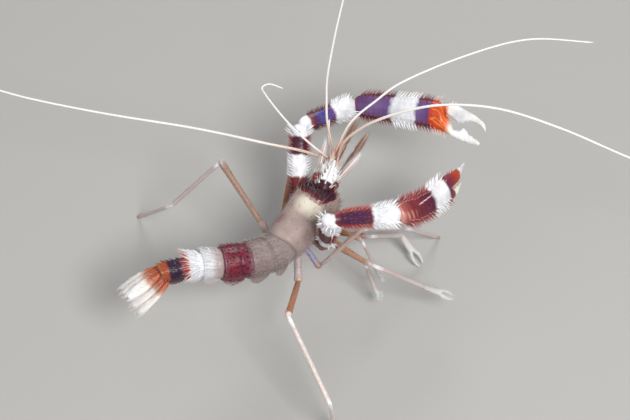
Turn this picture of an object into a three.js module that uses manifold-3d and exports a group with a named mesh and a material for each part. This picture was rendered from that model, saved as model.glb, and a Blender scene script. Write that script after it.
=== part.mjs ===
// Boxer shrimp (banded cleaner shrimp), a still life-size model standing on four feet.
// Millimetres, +Z up; the head looks along +X, the animal's left is +Y.
// The body is bent to its left, nose a little up, leaning slightly on its right side.
import * as THREE from 'three';
import Module from 'manifold-3d';
import { mergeVertices } from 'three/addons/utils/BufferGeometryUtils.js';

// ---------------------------------------------------------------- sizes, mm and degrees
const bodyHeight = 21.5;                           // rear middle of the carapace above the floor
const noseUp = 5, leanRight = 12, turned = 2;      // how the carapace is held
const carapaceLength = 15.2, carapaceWidth = 8.6, carapaceDepth = 9.7;
const rostrumRoot = 13.6, rostrumLength = 4.6;      // where it leaves the shell, and how far it reaches
const eyeRadius = 0.8;
const feelerBase = 0.72, feelerTip = 0.5;          // thickness of the long antennae
const thinFeeler = 0.6;                            // thickness of the antennule feelers at the base
const scaleLength = 6.2;
const tailRoll = 8;                                // lean of the tail rings
const telsonLength = 7.8, uropodLength = 8.3, finThickness = 0.62;
const palmLength = 16.4, fingerLength = 7.8;       // great claws
const armThickness = 2.2, palmDepth = 5.2, palmThickness = 3.3;
const legThickness = 1.15, shinThickness = 0.95, toeRadius = 0.34;
const frontMiddle = -1.35;                         // the head's middle line lies this far to the right in front
const jointGap = 0.3;                              // between neighbouring shell pieces
const LEFT = 1, RIGHT = -1;

const wasm = await Module();
wasm.setup();
const { Manifold, Mesh } = wasm;
const shrimp = new THREE.Group();
shrimp.name = 'boxer_shrimp';
const V = (x, y, z) => new THREE.Vector3(x, y, z);
const rad = THREE.MathUtils.degToRad;
const heading = (yaw, pitch) => V(
  Math.cos(rad(yaw)) * Math.cos(rad(pitch)), Math.sin(rad(yaw)) * Math.cos(rad(pitch)), Math.sin(rad(pitch)));
const mix = THREE.MathUtils.lerp;

// ---------------------------------------------------------------- shape helpers
// Closed skin over a row of rings {p, w, h, along, up}: w and h are half width and half height.
function skin(rings, sides = 8) {
  const pos = [], tri = [];
  rings.forEach((ring, i) => {
    const before = rings[Math.max(i - 1, 0)].p, after = rings[Math.min(i + 1, rings.length - 1)].p;
    const along = (ring.along ?? after.clone().sub(before)).clone().normalize();
    const side = new THREE.Vector3().crossVectors(along, ring.up ?? V(0, 0, 1)).normalize();
    const up = new THREE.Vector3().crossVectors(side, along);
    const power = ring.power ?? 1;
    for (let k = 0; k < sides; k++) {
      const a = (k / sides) * Math.PI * 2;
      const c = Math.sign(Math.cos(a)) * Math.abs(Math.cos(a)) ** power;
      const s = Math.sign(Math.sin(a)) * Math.abs(Math.sin(a)) ** power;
      const v = ring.p.clone().addScaledVector(side, c * ring.w).addScaledVector(up, s * ring.h);
      pos.push(v.x, v.y, v.z);
    }
  });
  const last = (rings.length - 1) * sides;
  for (let i = 0; i < rings.length - 1; i++) for (let k = 0; k < sides; k++) {
    const a = i * sides + k, b = i * sides + (k + 1) % sides, c = a + sides, d = b + sides;
    tri.push(a, c, b, b, c, d);
  }
  const ends = [rings[0].p, rings[rings.length - 1].p];
  ends.forEach((p) => pos.push(p.x, p.y, p.z));
  const first = rings.length * sides;
  for (let k = 0; k < sides; k++) {
    tri.push(first, k, (k + 1) % sides, first + 1, last + (k + 1) % sides, last + k);
  }
  const body = new Manifold(new Mesh({ numProp: 3, vertProperties: new Float32Array(pos), triVerts: new Uint32Array(tri) }));
  if (body.volume() < 0) throw new Error('inside out');
  return body;
}

// Spine: a slim cone rooted just under the shell, leaning along dir.
const spine = (root, dir, length = 1.2, base = 0.36, sides = 3) => {
  const d = dir.clone().normalize();
  const up = Math.abs(d.z) > 0.9 ? V(1, 0, 0) : V(0, 0, 1);
  return skin([
    { p: root.clone().addScaledVector(d, -0.35), w: base, h: base, up, along: d },
    { p: root.clone().addScaledVector(d, length), w: 0.008, h: 0.008, up, along: d },
  ], sides);
};
// A three.js shape as a solid.
function solidOf(geometry, x, y, z) {
  geometry.deleteAttribute('normal');
  geometry.deleteAttribute('uv');
  const shape = mergeVertices(geometry.translate(x, y, z), 1e-4);
  const index = shape.index ? shape.index.array : Array.from({ length: shape.attributes.position.count }, (_, i) => i);
  return new Manifold(new Mesh({ numProp: 3, vertProperties: new Float32Array(shape.attributes.position.array), triVerts: new Uint32Array(index) }));
}
const join = (list) => (list.length === 1 ? list[0] : Manifold.union(list));

// Every part is laid down in turn; a new part gives way to the parts already in place.
const placed = [];
function lay(name, colour, ...pieces) {
  let body = join(pieces.flat());
  const box = body.boundingBox();
  for (const other of placed) {
    const b = other.body.boundingBox();
    if ([0, 1, 2].every((i) => box.min[i] < b.max[i] && box.max[i] > b.min[i])) {
      const shared = body.intersect(other.body).volume();
      if (shared > 1e-5) {
        if (shared > 0.6) console.warn(`${name} gives way to ${other.name}: ${shared.toFixed(2)} mm3`);
        const middle = [0, 1, 2].map((i) => (b.min[i] + b.max[i]) / 2);
        const grown = [0, 1, 2].map((i) => 1 + 2 * jointGap / (b.max[i] - b.min[i]));
        const around = other.body.translate(middle.map((v) => -v)).scale(grown).translate(middle);
        body = body.subtract(other.body).subtract(around);
      }
    }
  }
  const bits = body.decompose().sort((a, b) => b.volume() - a.volume());
  if (bits.length > 1 && bits[1].volume() > 0.02) console.warn(`${name}: ${bits.length} bodies`);
  body = bits[0].simplify(0.045);
  body = body.decompose().sort((a, b) => b.volume() - a.volume())[0];
  placed.push({ name, body });
  const mesh = body.getMesh();
  let shape = new THREE.BufferGeometry();
  shape.setAttribute('position', new THREE.BufferAttribute(new Float32Array(mesh.vertProperties), 3));
  shape.setIndex(new THREE.BufferAttribute(new Uint32Array(mesh.triVerts), 1));
  shape = mergeVertices(shape, 1e-4);
  shape.computeVertexNormals();
  const node = new THREE.Mesh(shape, new THREE.MeshStandardMaterial({ color: colour, roughness: 0.4 }));
  node.name = name;
  shrimp.add(node);
  return body;
}

// Limb segment: a tube from a to b with a waist at each joint.
function segment(a, b, thick, { deep = thick, end = 0.7, bulge = 1, sides = 5, up = V(0, 0, 1), tip = null } = {}) {
  const over = thick * 0.22 / a.distanceTo(b);          // the ends reach a little past the joints
  const at = (t) => a.clone().lerp(b, mix(-over, 1 + over, t));
  const size = (t) => (t < 0.5 ? mix(end, bulge, Math.min(t * 5, 1)) : mix(tip ?? end, bulge, Math.min((1 - t) * 5, 1)));
  return skin([0, 0.15, 0.85, 1].map((t) => (
    { p: at(t), w: thick / 2 * size(t), h: deep / 2 * size(t), up, along: b.clone().sub(a) })), sides);
}
// Rows of spines along a segment, each leaning towards its far end.
function spineRow(a, b, out, { count = 6, from = 0.12, to = 0.9, length = 1.1, lean = 0.7, base = 0.32, rise = 1 } = {}) {
  const along = b.clone().sub(a).normalize();
  return Array.from({ length: count }, (_, i) => {
    const t = mix(from, to, count > 1 ? i / (count - 1) : 0.5);
    const grow = 1 + 0.25 * Math.sin(i * 2.4);
    return spine(a.clone().lerp(b, t).addScaledVector(out, rise), out.clone().addScaledVector(along, lean), length * grow, base);
  });
}
// Joints of a limb: from a start, steps of [length, yaw, pitch].
const chain = (start, steps) => steps.reduce((list, [length, yaw, pitch]) => (
  [...list, list[list.length - 1].clone().addScaledVector(heading(yaw, pitch), length)]), [start]);
const mid = (a, b, t = 0.5) => a.clone().lerp(b, t);

// One skin over a bent limb: joints, thickness of each segment, waisted at the joints; an end ring may be added.
function limb(joints, thick, { waist = 0.8, sides = 5, end = null } = {}) {
  const dirs = joints.slice(1).map((j, i) => j.clone().sub(joints[i]).normalize());
  const up = dirs.slice(1).reduce((sum, d, i) => sum.add(new THREE.Vector3().crossVectors(dirs[i], d)), V(0, 0, 1e-3)).normalize();
  const rings = [];
  dirs.forEach((d, i) => {
    const r = thick[i] / 2, a = joints[i], b = joints[i + 1];
    if (i === 0) rings.push({ p: a.clone().addScaledVector(d, -0.1), w: r * waist, h: r * waist, along: d, up });
    rings.push({ p: mid(a, b, 0.1), w: r, h: r, along: d, up }, { p: mid(a, b, 0.9), w: r * 0.92, h: r * 0.92, along: d, up });
    const next = dirs[i + 1] ?? d, size = Math.min(r, (thick[i + 1] ?? thick[i]) / 2 * 1.1) * waist;
    rings.push({ p: b, w: size, h: size, along: d.clone().add(next), up });
  });
  if (end) rings.push({ ...end, up });
  return skin(rings, sides);
}
const COLOUR = { flesh: 0xc9b3ac, red: 0x9a1f1c, violet: 0x5b4a86, white: 0xf1eee8, orange: 0xd06a28, clear: 0xb9aca6, dark: 0x2b1430 };

// ---------------------------------------------------------------- body frame
const tilt = new THREE.Matrix4().makeRotationZ(rad(turned)).multiply(new THREE.Matrix4().makeRotationY(rad(-noseUp))).multiply(new THREE.Matrix4().makeRotationX(rad(leanRight)));
const head = (x, y, z) => V(x, y, z).applyMatrix4(tilt).add(V(0, 0, bodyHeight));
const headDir = (x, y, z) => V(x, y, z).applyMatrix4(tilt);
const hip = (side, pair, inward = 0) => {
  const x = 2.4 + 2.25 * (5 - pair);
  return head(x, side * ((pair === 1 ? 2.1 : 2.7) - inward) - 0.085 * x, -4.9);
};

// ---------------------------------------------------------------- carapace
// [distance from the rear edge, width and depth as shares of the sizes above, height of the middle, bend to the left]
const carapaceRings = [
  [0, 0.78, 0.78, -0.1, 0], [0.055, 0.87, 0.85, -0.1, -0.05], [0.23, 0.94, 0.93, -0.2, -0.5], [0.42, 0.98, 0.95, -0.3, -0.95],
  [0.6, 1.04, 0.97, -0.3, -1.35], [0.75, 1.02, 0.94, -0.15, -1.65], [0.86, 0.9, 0.82, 0.25, -1.75], [0.93, 0.52, 0.56, 0.9, -1.65],
  [1, 0.2, 0.32, 1.9, -1.5],
].map(([x, w, h, z, y]) => [x * carapaceLength, w * carapaceWidth / 2, h * carapaceDepth / 2, z, y]);
const carapace = skin(carapaceRings.map(([x, w, h, z, y]) => (
  { p: head(x, y, z), w, h, along: headDir(1, 0, 0), up: headDir(0, 0, 1), power: 0.9 })), 13);
const rostrumLine = (x) => mix(-1.6, -1.15, (x - rostrumRoot) / rostrumLength);
const rostrum = skin([[-0.2, 1.4, 0.9, 2.9], [0.3, 0.9, 0.75, 3.4], [0.7, 0.5, 0.5, 3.9], [1, 0.25, 0.25, 4.3]].map(([t, w, h, z]) => {
  const x = rostrumRoot + rostrumLength * t;
  return { p: head(x, rostrumLine(x), z), w, h, along: headDir(1, 0.1, 0.25), up: headDir(0, 0, 1) };
}), 6);
const carapaceSpines = [];
// crest of the rostrum and back
[[16.9, 4.4], [15.6, 4.2], [14.3, 4.0]].forEach(([x, z]) => carapaceSpines.push(spine(head(x, rostrumLine(x), z - 0.25), headDir(0.9, 0, 1), 0.95, 0.3)));
for (const side of [LEFT, RIGHT]) {
  carapaceSpines.push(spine(head(16.2, rostrumLine(16.2) + side * 0.7, 3.7), headDir(0.9, side * 0.9, 0.3), 0.8, 0.3));
  // scattered spines of the shell, rows by angle from the back
  [[12.4, 24, 1.1], [10.4, 34, 1.1], [13.2, 66, 1.2], [11.0, 74, 1.1], [13.0, 104, 1.1],
    [7.4, 24, 0.9], [7.8, 84, 0.9], [4.2, 56, 0.8]].forEach(([x, angle, length]) => {
    const i = carapaceRings.findIndex((r) => r[0] > x), a = carapaceRings[i - 1], b = carapaceRings[i];
    const t = (x - a[0]) / (b[0] - a[0]);
    const [w, h, z, y] = [1, 2, 3, 4].map((k) => mix(a[k], b[k], t));
    const s = Math.sin(rad(angle)), c = Math.cos(rad(angle));
    carapaceSpines.push(spine(head(x, y + side * s * w, z + c * h), headDir(0.85, side * s, c), length, 0.3));
  });
}
lay('carapace', COLOUR.flesh, carapace, rostrum, carapaceSpines);

// ---------------------------------------------------------------- eyes
for (const [label, side] of [['left', LEFT], ['right', RIGHT]]) {
  const base = head(13.3, frontMiddle + side * 1.2, 1.9), ball = head(14.75, frontMiddle + side * 1.8, 2.0);
  lay(`eye_${label}`, COLOUR.dark, segment(base, ball, 0.9, { sides: 6, end: 1 }),
    solidOf(new THREE.IcosahedronGeometry(eyeRadius, 1), ball.x, ball.y, ball.z));
}

// ---------------------------------------------------------------- mouthparts and third maxillipeds
lay('mouthparts', COLOUR.clear, skin([[10.4, 1.5, 0.9, -4.9], [12.4, 1.7, 1.3, -4.5], [14.6, 1.5, 1.4, -3.1], [16.4, 0.8, 0.7, -1.8]].map(([x, w, h, z]) => (
  { p: head(x, frontMiddle, z), w, h, along: headDir(1, 0, 0.5), up: headDir(0, 0, 1) })), 10));

// ---------------------------------------------------------------- antennules, antennae, scales
// A flagellum bends evenly between its stretches of [length, yaw, pitch].
function flagellum(start, stretches, base = thinFeeler) {
  const first = heading(stretches[0][1], stretches[0][2]);
  const knots = [start.clone().addScaledVector(first, -0.5), ...chain(start, stretches).slice(1)];  // rooted in its last joint
  const curve = new THREE.CatmullRomCurve3(knots);
  const total = stretches.reduce((sum, s) => sum + s[0], 0);
  const count = Math.max(7, Math.round(total / 4.8));
  return skin(Array.from({ length: count + 1 }, (_, i) => {
    const t = i / count, along = curve.getTangentAt(t);
    const r = mix(base, feelerTip, t) / 2;
    return { p: curve.getPointAt(t), w: r, h: r, along, up: Math.abs(along.z) > 0.85 ? V(1, 0, 0) : V(0, 0, 1) };
  }), 4);
}
const antennuleRoot = (side) => head(15.5, frontMiddle + 0.6 + side * 0.75, 2.2);
const antennuleEnd = (side) => (side === LEFT ? head(19.1, 0, 2) : head(20.2, -0.05, 3.5));
const antennaRoot = (side) => head(14.2, frontMiddle + 0.2 + side * 1.75, 0.6);
const antennaEnd = (side) => (side === LEFT ? head(19.5, -0.4, 0.3) : head(19.1, -1.5, 2.4));
for (const [label, side] of [['left', LEFT], ['right', RIGHT]]) {
  const a = antennuleRoot(side), b = antennuleEnd(side);
  lay(`antennule_${label}`, COLOUR.clear, limb([a, mid(a, b, 0.5), mid(a, b, 0.78), b], [1.15, 0.95, 0.85], { sides: 6, waist: 0.88 }));
  const c = antennaRoot(side), d = antennaEnd(side);
  lay(`antenna_${label}`, COLOUR.white, limb([c, mid(c, d, 0.55), d], [1.8, 1.05], { sides: 6, waist: 0.9 }),
    spineRow(c, mid(c, d, 0.7), headDir(0, side, 0.1), { count: 2, length: 0.8, rise: 0.65 }));
  const scaleRoot = head(17.0, frontMiddle + 0.2 + side * 1.95, 0.8), scaleDir = headDir(0.92, side * 0.24, 0.3).normalize();
  lay(`scale_${label}`, COLOUR.clear, skin([[-0.2, 0.36, 0.3], [0.13, 0.55, 0.3], [0.45, 0.62, 0.28], [0.8, 0.42, 0.27], [1, 0.26, 0.26]].map(([t, w, h]) => (
    { p: scaleRoot.clone().addScaledVector(scaleDir, scaleLength * t), w, h, along: scaleDir, up: headDir(0, 0, 1) })), 8));
}
lay('antenna_flagellum_left', COLOUR.white, flagellum(antennaEnd(LEFT),
  [[4, 107, 26], [9, 116, 18], [12.1, 106, 4], [18.1, 111.5, 7], [13.5, 111, 10], [14, 107, 11], [18, 111, 4]], feelerBase));
lay('antenna_flagellum_right', COLOUR.white, flagellum(antennaEnd(RIGHT),
  [[3.4, 5, 40], [4.4, -42, 42], [4, -60, 38], [6.8, -65, 30], [6, -68, 20], [9.5, -73, 7], [11, -77, -9], [14, -77, -18], [16, -76, -16], [14, -74, -8]], feelerBase));
lay('antennule_outer_left', COLOUR.white, flagellum(antennuleEnd(LEFT),
  [[4.6, 94, 33], [5.7, 91, 39], [6.5, 82, 42], [1.5, 70, 50], [1.5, -24, -4], [2.8, -63, -25]]));
lay('antennule_outer_right', COLOUR.white, flagellum(antennuleEnd(RIGHT),
  [[5.4, 43, 34], [4, 30, 35], [3.5, 26, 50], [6.5, 13, 52], [8.5, 7, 54], [12, 5, 50], [14, 6, 44]]));
lay('antennule_inner_right', COLOUR.white, flagellum(antennuleEnd(RIGHT).clone().addScaledVector(headDir(0, -1, -0.3), 0.35),
  [[6, -4, 28], [6.4, -27, 22], [4.5, -31, 20], [13.8, -43, 13], [11.2, -50, 8], [11.8, -64, -1.5]]));
lay('antennule_inner_left', COLOUR.white, flagellum(antennuleEnd(LEFT).clone().addScaledVector(headDir(0, 0.2, -1), 0.3),
  [[4, 28, 6], [5, 27, -4], [5, 22, 2]]));

// ---------------------------------------------------------------- abdomen
// Each ring of the tail: length, yaw, pitch of its forward direction, half width, half height.
const fanHeading = [-28, 17];                          // forward direction of the tail fan
const somites = [[3.0, -26, -3, 3.4, 3.5], [4.0, -39, -9, 3.4, 3.4], [4.5, -46, -12, 3.15, 3.15], [3.5, -48, -12, 2.7, 2.7], [3.0, -48, -8, 2.25, 2.25], [4.2, -46, 2, 1.8, 1.85]];
let joint = head(0, 0, -0.1);
let forward = headDir(1, 0, 0);
somites.forEach(([length, yaw, pitch, w, h], i) => {
  const dir = heading(yaw, pitch);
  const end = joint.clone().addScaledVector(dir, -length);
  const sideways = new THREE.Vector3().crossVectors(dir, V(0, 0, 1)).normalize();
  const up = new THREE.Vector3().crossVectors(sideways, dir).applyAxisAngle(dir, rad(tailRoll)).normalize();
  const left = new THREE.Vector3().crossVectors(up, dir).normalize();
  const next = somites[i + 1] ?? [0, ...fanHeading];
  const turn = dir.clone().add(forward).normalize();
  const turnOut = dir.clone().add(heading(next[1], next[2])).normalize();
  const pieces = [skin([
    { p: joint.clone().addScaledVector(turn, -0.1), w: w * 0.93, h: h * 0.93, along: turn },
    { p: joint.clone().addScaledVector(dir, -length * 0.25), w, h, along: dir },
    { p: joint.clone().addScaledVector(dir, -length * 0.7), w: w * 1.02, h: h * 1.02, along: dir },
    { p: end.clone().addScaledVector(turnOut, 0.1), w: w * 0.96, h: h * 0.96, along: turnOut },
  ].map((r) => ({ ...r, along: r.along.clone().negate(), up })), 10)];
  // side plates hanging below the ring, and the swimming feet under the first five
  for (const side of [LEFT, RIGHT]) {
    const plate = joint.clone().addScaledVector(dir, -length * 0.52).addScaledVector(left, side * w * 0.8);
    const drop = up.clone().negate().addScaledVector(left, side * 0.12).normalize();
    const reach = h * 0.9;
    pieces.push(skin([[0.3, 0.42, 0.5], [1.1, 0.3, 0.3]].map(([t, wide, thick]) => (
      { p: plate.clone().addScaledVector(drop, reach * t), w: length * wide, h: thick, along: drop, up: left })), 5));
    if (i < 5) {
      const root = joint.clone().addScaledVector(dir, -length * 0.55).addScaledVector(left, side * w * 0.42).addScaledVector(up, -h * 0.8);
      const foot = up.clone().negate().addScaledVector(dir, 1.3).addScaledVector(left, side * 0.1).normalize();
      pieces.push(skin([[0, 0.5, 0.4], [2.7 - i * 0.2, 0.45, 0.27]].map(([t, wide, thick]) => (
        { p: root.clone().addScaledVector(foot, t), w: wide, h: thick, along: foot, up: left })), 4));
    }
  }
  // spines of the upper side
  for (const angle of [-42, 0, 42]) {
    const out = up.clone().multiplyScalar(Math.cos(rad(angle))).addScaledVector(left, Math.sin(rad(angle)));
    const root = joint.clone().addScaledVector(dir, -length * 0.62)
      .addScaledVector(up, Math.cos(rad(angle)) * h).addScaledVector(left, Math.sin(rad(angle)) * w);
    pieces.push(spine(root, out.addScaledVector(dir, -0.9), 0.75, 0.28));
  }
  lay(`abdomen_${i + 1}`, [COLOUR.clear, COLOUR.clear, COLOUR.red, COLOUR.white, COLOUR.white, COLOUR.red][i], pieces);
  joint = end;
  forward = dir;
});

// ---------------------------------------------------------------- tail fan
const fanDir = heading(...fanHeading);
const fanSide = new THREE.Vector3().crossVectors(V(0, 0, 1), fanDir).normalize();
const fanUp = new THREE.Vector3().crossVectors(fanDir, fanSide).normalize();
function blade(root, yaw, droop, length, width, thick, tipWidth = 0.45) {
  const dir = fanDir.clone().negate().applyAxisAngle(fanUp, rad(yaw)).addScaledVector(fanUp, -droop).normalize();
  return [dir, skin([[0, 0.4, 1], [0.12, 0.72, 1.1], [0.45, 1, 1], [0.8, 0.9, 0.9], [1, tipWidth, 0.8]].map(([t, w, h]) => (
    { p: root.clone().addScaledVector(dir, length * t), w: width / 2 * w, h: thick / 2 * h, along: dir, up: fanUp })), 6)];
}
const [telsonDir, telson] = blade(joint.clone().addScaledVector(fanUp, 0.35), 0, 0, telsonLength, 2.4, 1.1, 0.3);
const telsonSpines = [1, -1].flatMap((side) => [0.35, 0.65].map((t) => spine(
  joint.clone().addScaledVector(fanUp, 0.8).addScaledVector(telsonDir, telsonLength * t).addScaledVector(fanSide, side * 0.6),
  fanUp.clone().addScaledVector(telsonDir, 1.1), 0.7, 0.26)));
lay('telson', COLOUR.orange, telson, telsonSpines);
for (const [label, side] of [['left', LEFT], ['right', RIGHT]]) {
  const root = joint.clone().addScaledVector(fanSide, side * 1.05).addScaledVector(fanUp, -0.25);
  lay(`uropod_inner_${label}`, COLOUR.white, blade(root, -side * 4, 0.02, uropodLength, 2, finThickness)[1]);
  lay(`uropod_outer_${label}`, COLOUR.white, blade(root.clone().addScaledVector(fanSide, side * 0.7).addScaledVector(fanUp, -0.35), -side * 9, 0.07, uropodLength, 2.2, finThickness)[1]);
}

// ---------------------------------------------------------------- great claws
// Steps of [length, yaw, pitch]: ischium, merus, carpus, palm; then the two fingers.
// Palm rings [place, share of the bow, share of the rise, half width, half depth]; finger rings [place, half width,
// half depth, lift, share of the hook]: a broad heel on the moving finger bites against a tooth of the fixed one.
const palmRings = [[0.01, 0, 0, 0.5, 0.33], [0.07, 0.3, 0, 0.8, 0.76], [0.35, 1, 0, 0.97, 0.93], [0.75, 0.6, 0.5, 1, 0.97],
  [0.94, 0.2, 1, 0.88, 0.9], [1.04, 0, 1, 0.66, 0.6]];
const fixedRings = [[-0.3, 1, 1.25, -0.1], [0.05, 0.95, 1.05, -0.3], [0.32, 0.8, 0.7, -0.42], [0.46, 0.75, 0.85, -0.1],
  [0.54, 0.65, 1.12, 0.28], [0.64, 0.58, 0.76, 0.03], [0.92, 0.35, 0.38, 0.12], [1, 0.24, 0.24, 0.2]];
const movingRings = [[0, 0.75, 0.8, 0.1, 0], [0.15, 0.95, 0.95, 0.15, 0], [0.27, 1, 1.4, 0.12, 0], [0.42, 0.9, 1.4, -0.12, 0],
  [0.54, 0.75, 1, 0, 0], [0.68, 0.62, 0.7, 0.15, 0], [0.9, 0.4, 0.4, 0.05, 0.3], [1, 0.24, 0.24, 0, 1.2]];
function greatClaw(label, start, steps, rolls, fingers) {
  const [hipJoint, knee1, knee2, wrist, palmEnd] = chain(start, steps);
  const flat = (a, b, roll) => {                        // "up" of a segment, turned by its roll
    const d = b.clone().sub(a).normalize();
    const s = new THREE.Vector3().crossVectors(d, V(0, 0, 1)).normalize();
    return new THREE.Vector3().crossVectors(s, d).applyAxisAngle(d, rad(roll));
  };
  const both = (a, b, up, list) => [1, -1].flatMap((s) => spineRow(a, b, up.clone().multiplyScalar(s), list));
  let up = flat(knee1, knee2, rolls[0]);
  lay(`claw_arm_${label}`, COLOUR.red, segment(hipJoint, knee1, armThickness - 0.1, { sides: 6 }),
    segment(knee1, knee2, armThickness, { deep: armThickness * 1.4, sides: 7, up, end: 0.72 }),
    both(knee1, knee2, up, { count: 4, rise: 1.3, length: 0.95, from: 0.3, to: 0.93 }));
  up = flat(knee2, wrist, rolls[1]);
  const cut = mid(knee2, wrist, 0.02);
  lay(`claw_wrist_${label}`, COLOUR.violet, skin([[0, 0.62], [0.1, 0.85], [0.6, 0.97], [0.87, 1.2], [1, 0.7]].map(([t, s]) => (
    { p: cut.clone().lerp(wrist, t), w: 1.15 * s, h: 1.6 * s, up, along: wrist.clone().sub(knee2) })), 7),
  both(knee2, wrist, up, { count: 5, rise: 1.4, length: 1.1, from: 0.15, to: 0.97, lean: 0.9 }));
  // palm and fixed finger
  up = flat(wrist, palmEnd, rolls[2]);
  const along = palmEnd.clone().sub(wrist).normalize();
  const { fixedBend, movingBend, bow, rise, grow, hinge, hook, reach } = fingers;
  const palm = palmLength * grow, finger = fingerLength * grow;
  const at = (x, z) => wrist.clone().addScaledVector(along, x).addScaledVector(up, z);
  const turnedBy = (angle) => along.clone().addScaledVector(up, Math.tan(rad(angle))).normalize();
  const fixedDir = turnedBy(fixedBend), movingDir = turnedBy(movingBend);
  const fixedRoot = at(palm, -1), movingRoot = at(palm * 0.94, hinge);
  const fixed = (t, z = 0) => fixedRoot.clone().addScaledVector(fixedDir, reach * t).addScaledVector(up, z);
  const moving = (t, z = 0) => movingRoot.clone().addScaledVector(movingDir, (finger + 0.9) * t).addScaledVector(up, z);
  const palmBody = skin(palmRings.map(([t, bowed, raised, w, h]) => (
    { p: at(palm * t, bowed * bow + raised * rise), w: w * palmThickness / 2, h: h * palmDepth / 2, up, along })), 8);
  const fixedBody = skin(fixedRings.map(([t, w, h, z]) => ({ p: fixed(t, z), w, h, up, along: fixedDir })), 6);
  const middle = (bow + rise) / 2;
  lay(`claw_palm_${label}`, COLOUR.violet, palmBody, fixedBody,
    both(at(0, middle), at(palm, middle), up, { count: 6, rise: palmDepth * 0.4, length: 1.05, from: 0.12, to: 0.9, lean: 0.8, base: 0.36 }));
  lay(`claw_finger_${label}`, COLOUR.white, skin(movingRings.map(([t, w, h, z, hooked]) => (
    { p: moving(t, z - hooked * hook), w, h, up, along: movingDir })), 6));
}
greatClaw('left', hip(LEFT, 3, 0.6), [[4.6, 0, -14], [15.4, 27, 38.5], [12.6, -27, -13], [24, -82, 11]], [-86, -57, -55],
  { fixedBend: -20, movingBend: -10, bow: 0.5, rise: 0.5, grow: 1.07, hinge: 1.9, hook: 1, reach: 8.3 });
greatClaw('right', hip(RIGHT, 3), [[4.8, -116, 28], [14.2, -138, 73], [13.6, -41, -20], [22, -18, -23]], [39, -53, -50],
  { fixedBend: 16, movingBend: 15, bow: -0.45, rise: 0.35, grow: 0.89, hinge: 0.95, hook: 0, reach: 4.9 });

// ---------------------------------------------------------------- slender pincer legs (first and second pairs)
function pincerLeg(label, side, pair, steps, thick, hand, inward = 0) {
  const j = chain(hip(side, pair, inward), steps);
  const base = `leg${pair}_${label}`;
  lay(`${base}_upper`, COLOUR.orange, limb(j.slice(0, 3), [thick * 1.25, thick]));
  const dir = j[4].clone().sub(j[3]).normalize();
  const sideways = new THREE.Vector3().crossVectors(dir, V(0, 0, 1)).normalize();
  const palm = mid(j[3], j[4], 0.55), gape = hand * 0.55;
  lay(`${base}_lower`, COLOUR.white, limb([j[2], j[3], palm], [thick * 0.85, hand], { waist: 0.85 }),
    ...[1, -1].map((s) => skin([[-0.15, 0.26], [1, 0.23]].map(([t, r]) => (
      { p: mid(palm, j[4], t).addScaledVector(sideways, s * (hand * 0.22 + gape * t * 0.6)), w: hand * r, h: hand * r * 1.1, along: dir })), 4)));
}
pincerLeg('right', RIGHT, 2, [[4.5, -108, -20], [9.2, -103, 16], [12, -64, -35], [7, -58, -37]], 0.95, 1.15);
pincerLeg('right', RIGHT, 1, [[4.0, -122, -40], [8.2, -96, -14], [6.4, -109, -64], [3, -80, -64]], 0.8, 0.95);
pincerLeg('left', LEFT, 2, [[4.6, -70, -50], [10.4, -62, -13], [10, -28, -38], [7, -104, -44]], 0.95, 1.3, 1.4);
pincerLeg('left', LEFT, 1, [[4.4, -74, -48], [9.6, -91, -1], [7.6, -104, -58], [3.4, -50, -70]], 0.8, 0.95);

// ---------------------------------------------------------------- walking legs (fourth and fifth pairs)
function walkingLeg(label, side, pair, steps, foot, slim = 1) {
  const j = chain(hip(side, pair), steps);
  lay(`leg${pair}_${label}_upper`, COLOUR.orange, limb(j.slice(0, 3), [legThickness * 1.3 * slim, legThickness * slim]));
  // the last joint: shin down to the toe, which ends in a small flat on the floor
  const sole = V(foot[0], foot[1], 0), ankle = mid(j[3], sole, 0.93);
  lay(`leg${pair}_${label}_lower`, COLOUR.white, limb([j[2], j[3], ankle], [shinThickness, shinThickness * 0.8], {
    waist: 0.85, sides: 6, end: { p: sole, w: toeRadius, h: toeRadius, along: V(0, 0, -1) } }));
}
walkingLeg('right', RIGHT, 5, [[4.8, -150, -28], [14, -160, 32], [17, -123, -28]], [-17.3, -20.0]);
walkingLeg('left', LEFT, 5, [[4.6, 52, -4], [13.6, 73, 42], [18, 114, -56]], [5.6, 35.0]);
walkingLeg('right', RIGHT, 4, [[4.8, -112, -26], [13.0, -54, 55], [18, -16, -46]], [28.6, -18.6], 0.75);
walkingLeg('left', LEFT, 4, [[4.4, 15, -12], [13, 19, 6], [16.5, 15, -46]], [37, 14]);

// third maxillipeds, folded forward under the head
const mouthLegs = [['left', LEFT, [[7.4, -14, 18], [6, -7.5, 33], [5.6, -7.5, 34]]], ['right', RIGHT, [[7.4, -10, 18], [5.5, -11, 32], [4.5, -11.5, 31]]]];
for (const [label, side, steps] of mouthLegs) {
  const j = chain(head(12.6, side * 1.35 - 0.45, -5.6), steps);
  lay(`maxilliped_${label}`, COLOUR.clear, limb(j, [1.25, 1.2, 0.85], { waist: 0.8 }));
}

// ---------------------------------------------------------------- stand on the floor, centred
const box = new THREE.Box3().setFromObject(shrimp);
const centre = box.getCenter(new THREE.Vector3());
shrimp.children.forEach((node) => node.geometry.translate(-centre.x, -centre.y, -box.min.z));

export default shrimp;
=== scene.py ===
import bpy
import math
import random
import numpy as np
from mathutils import Matrix, Vector


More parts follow.
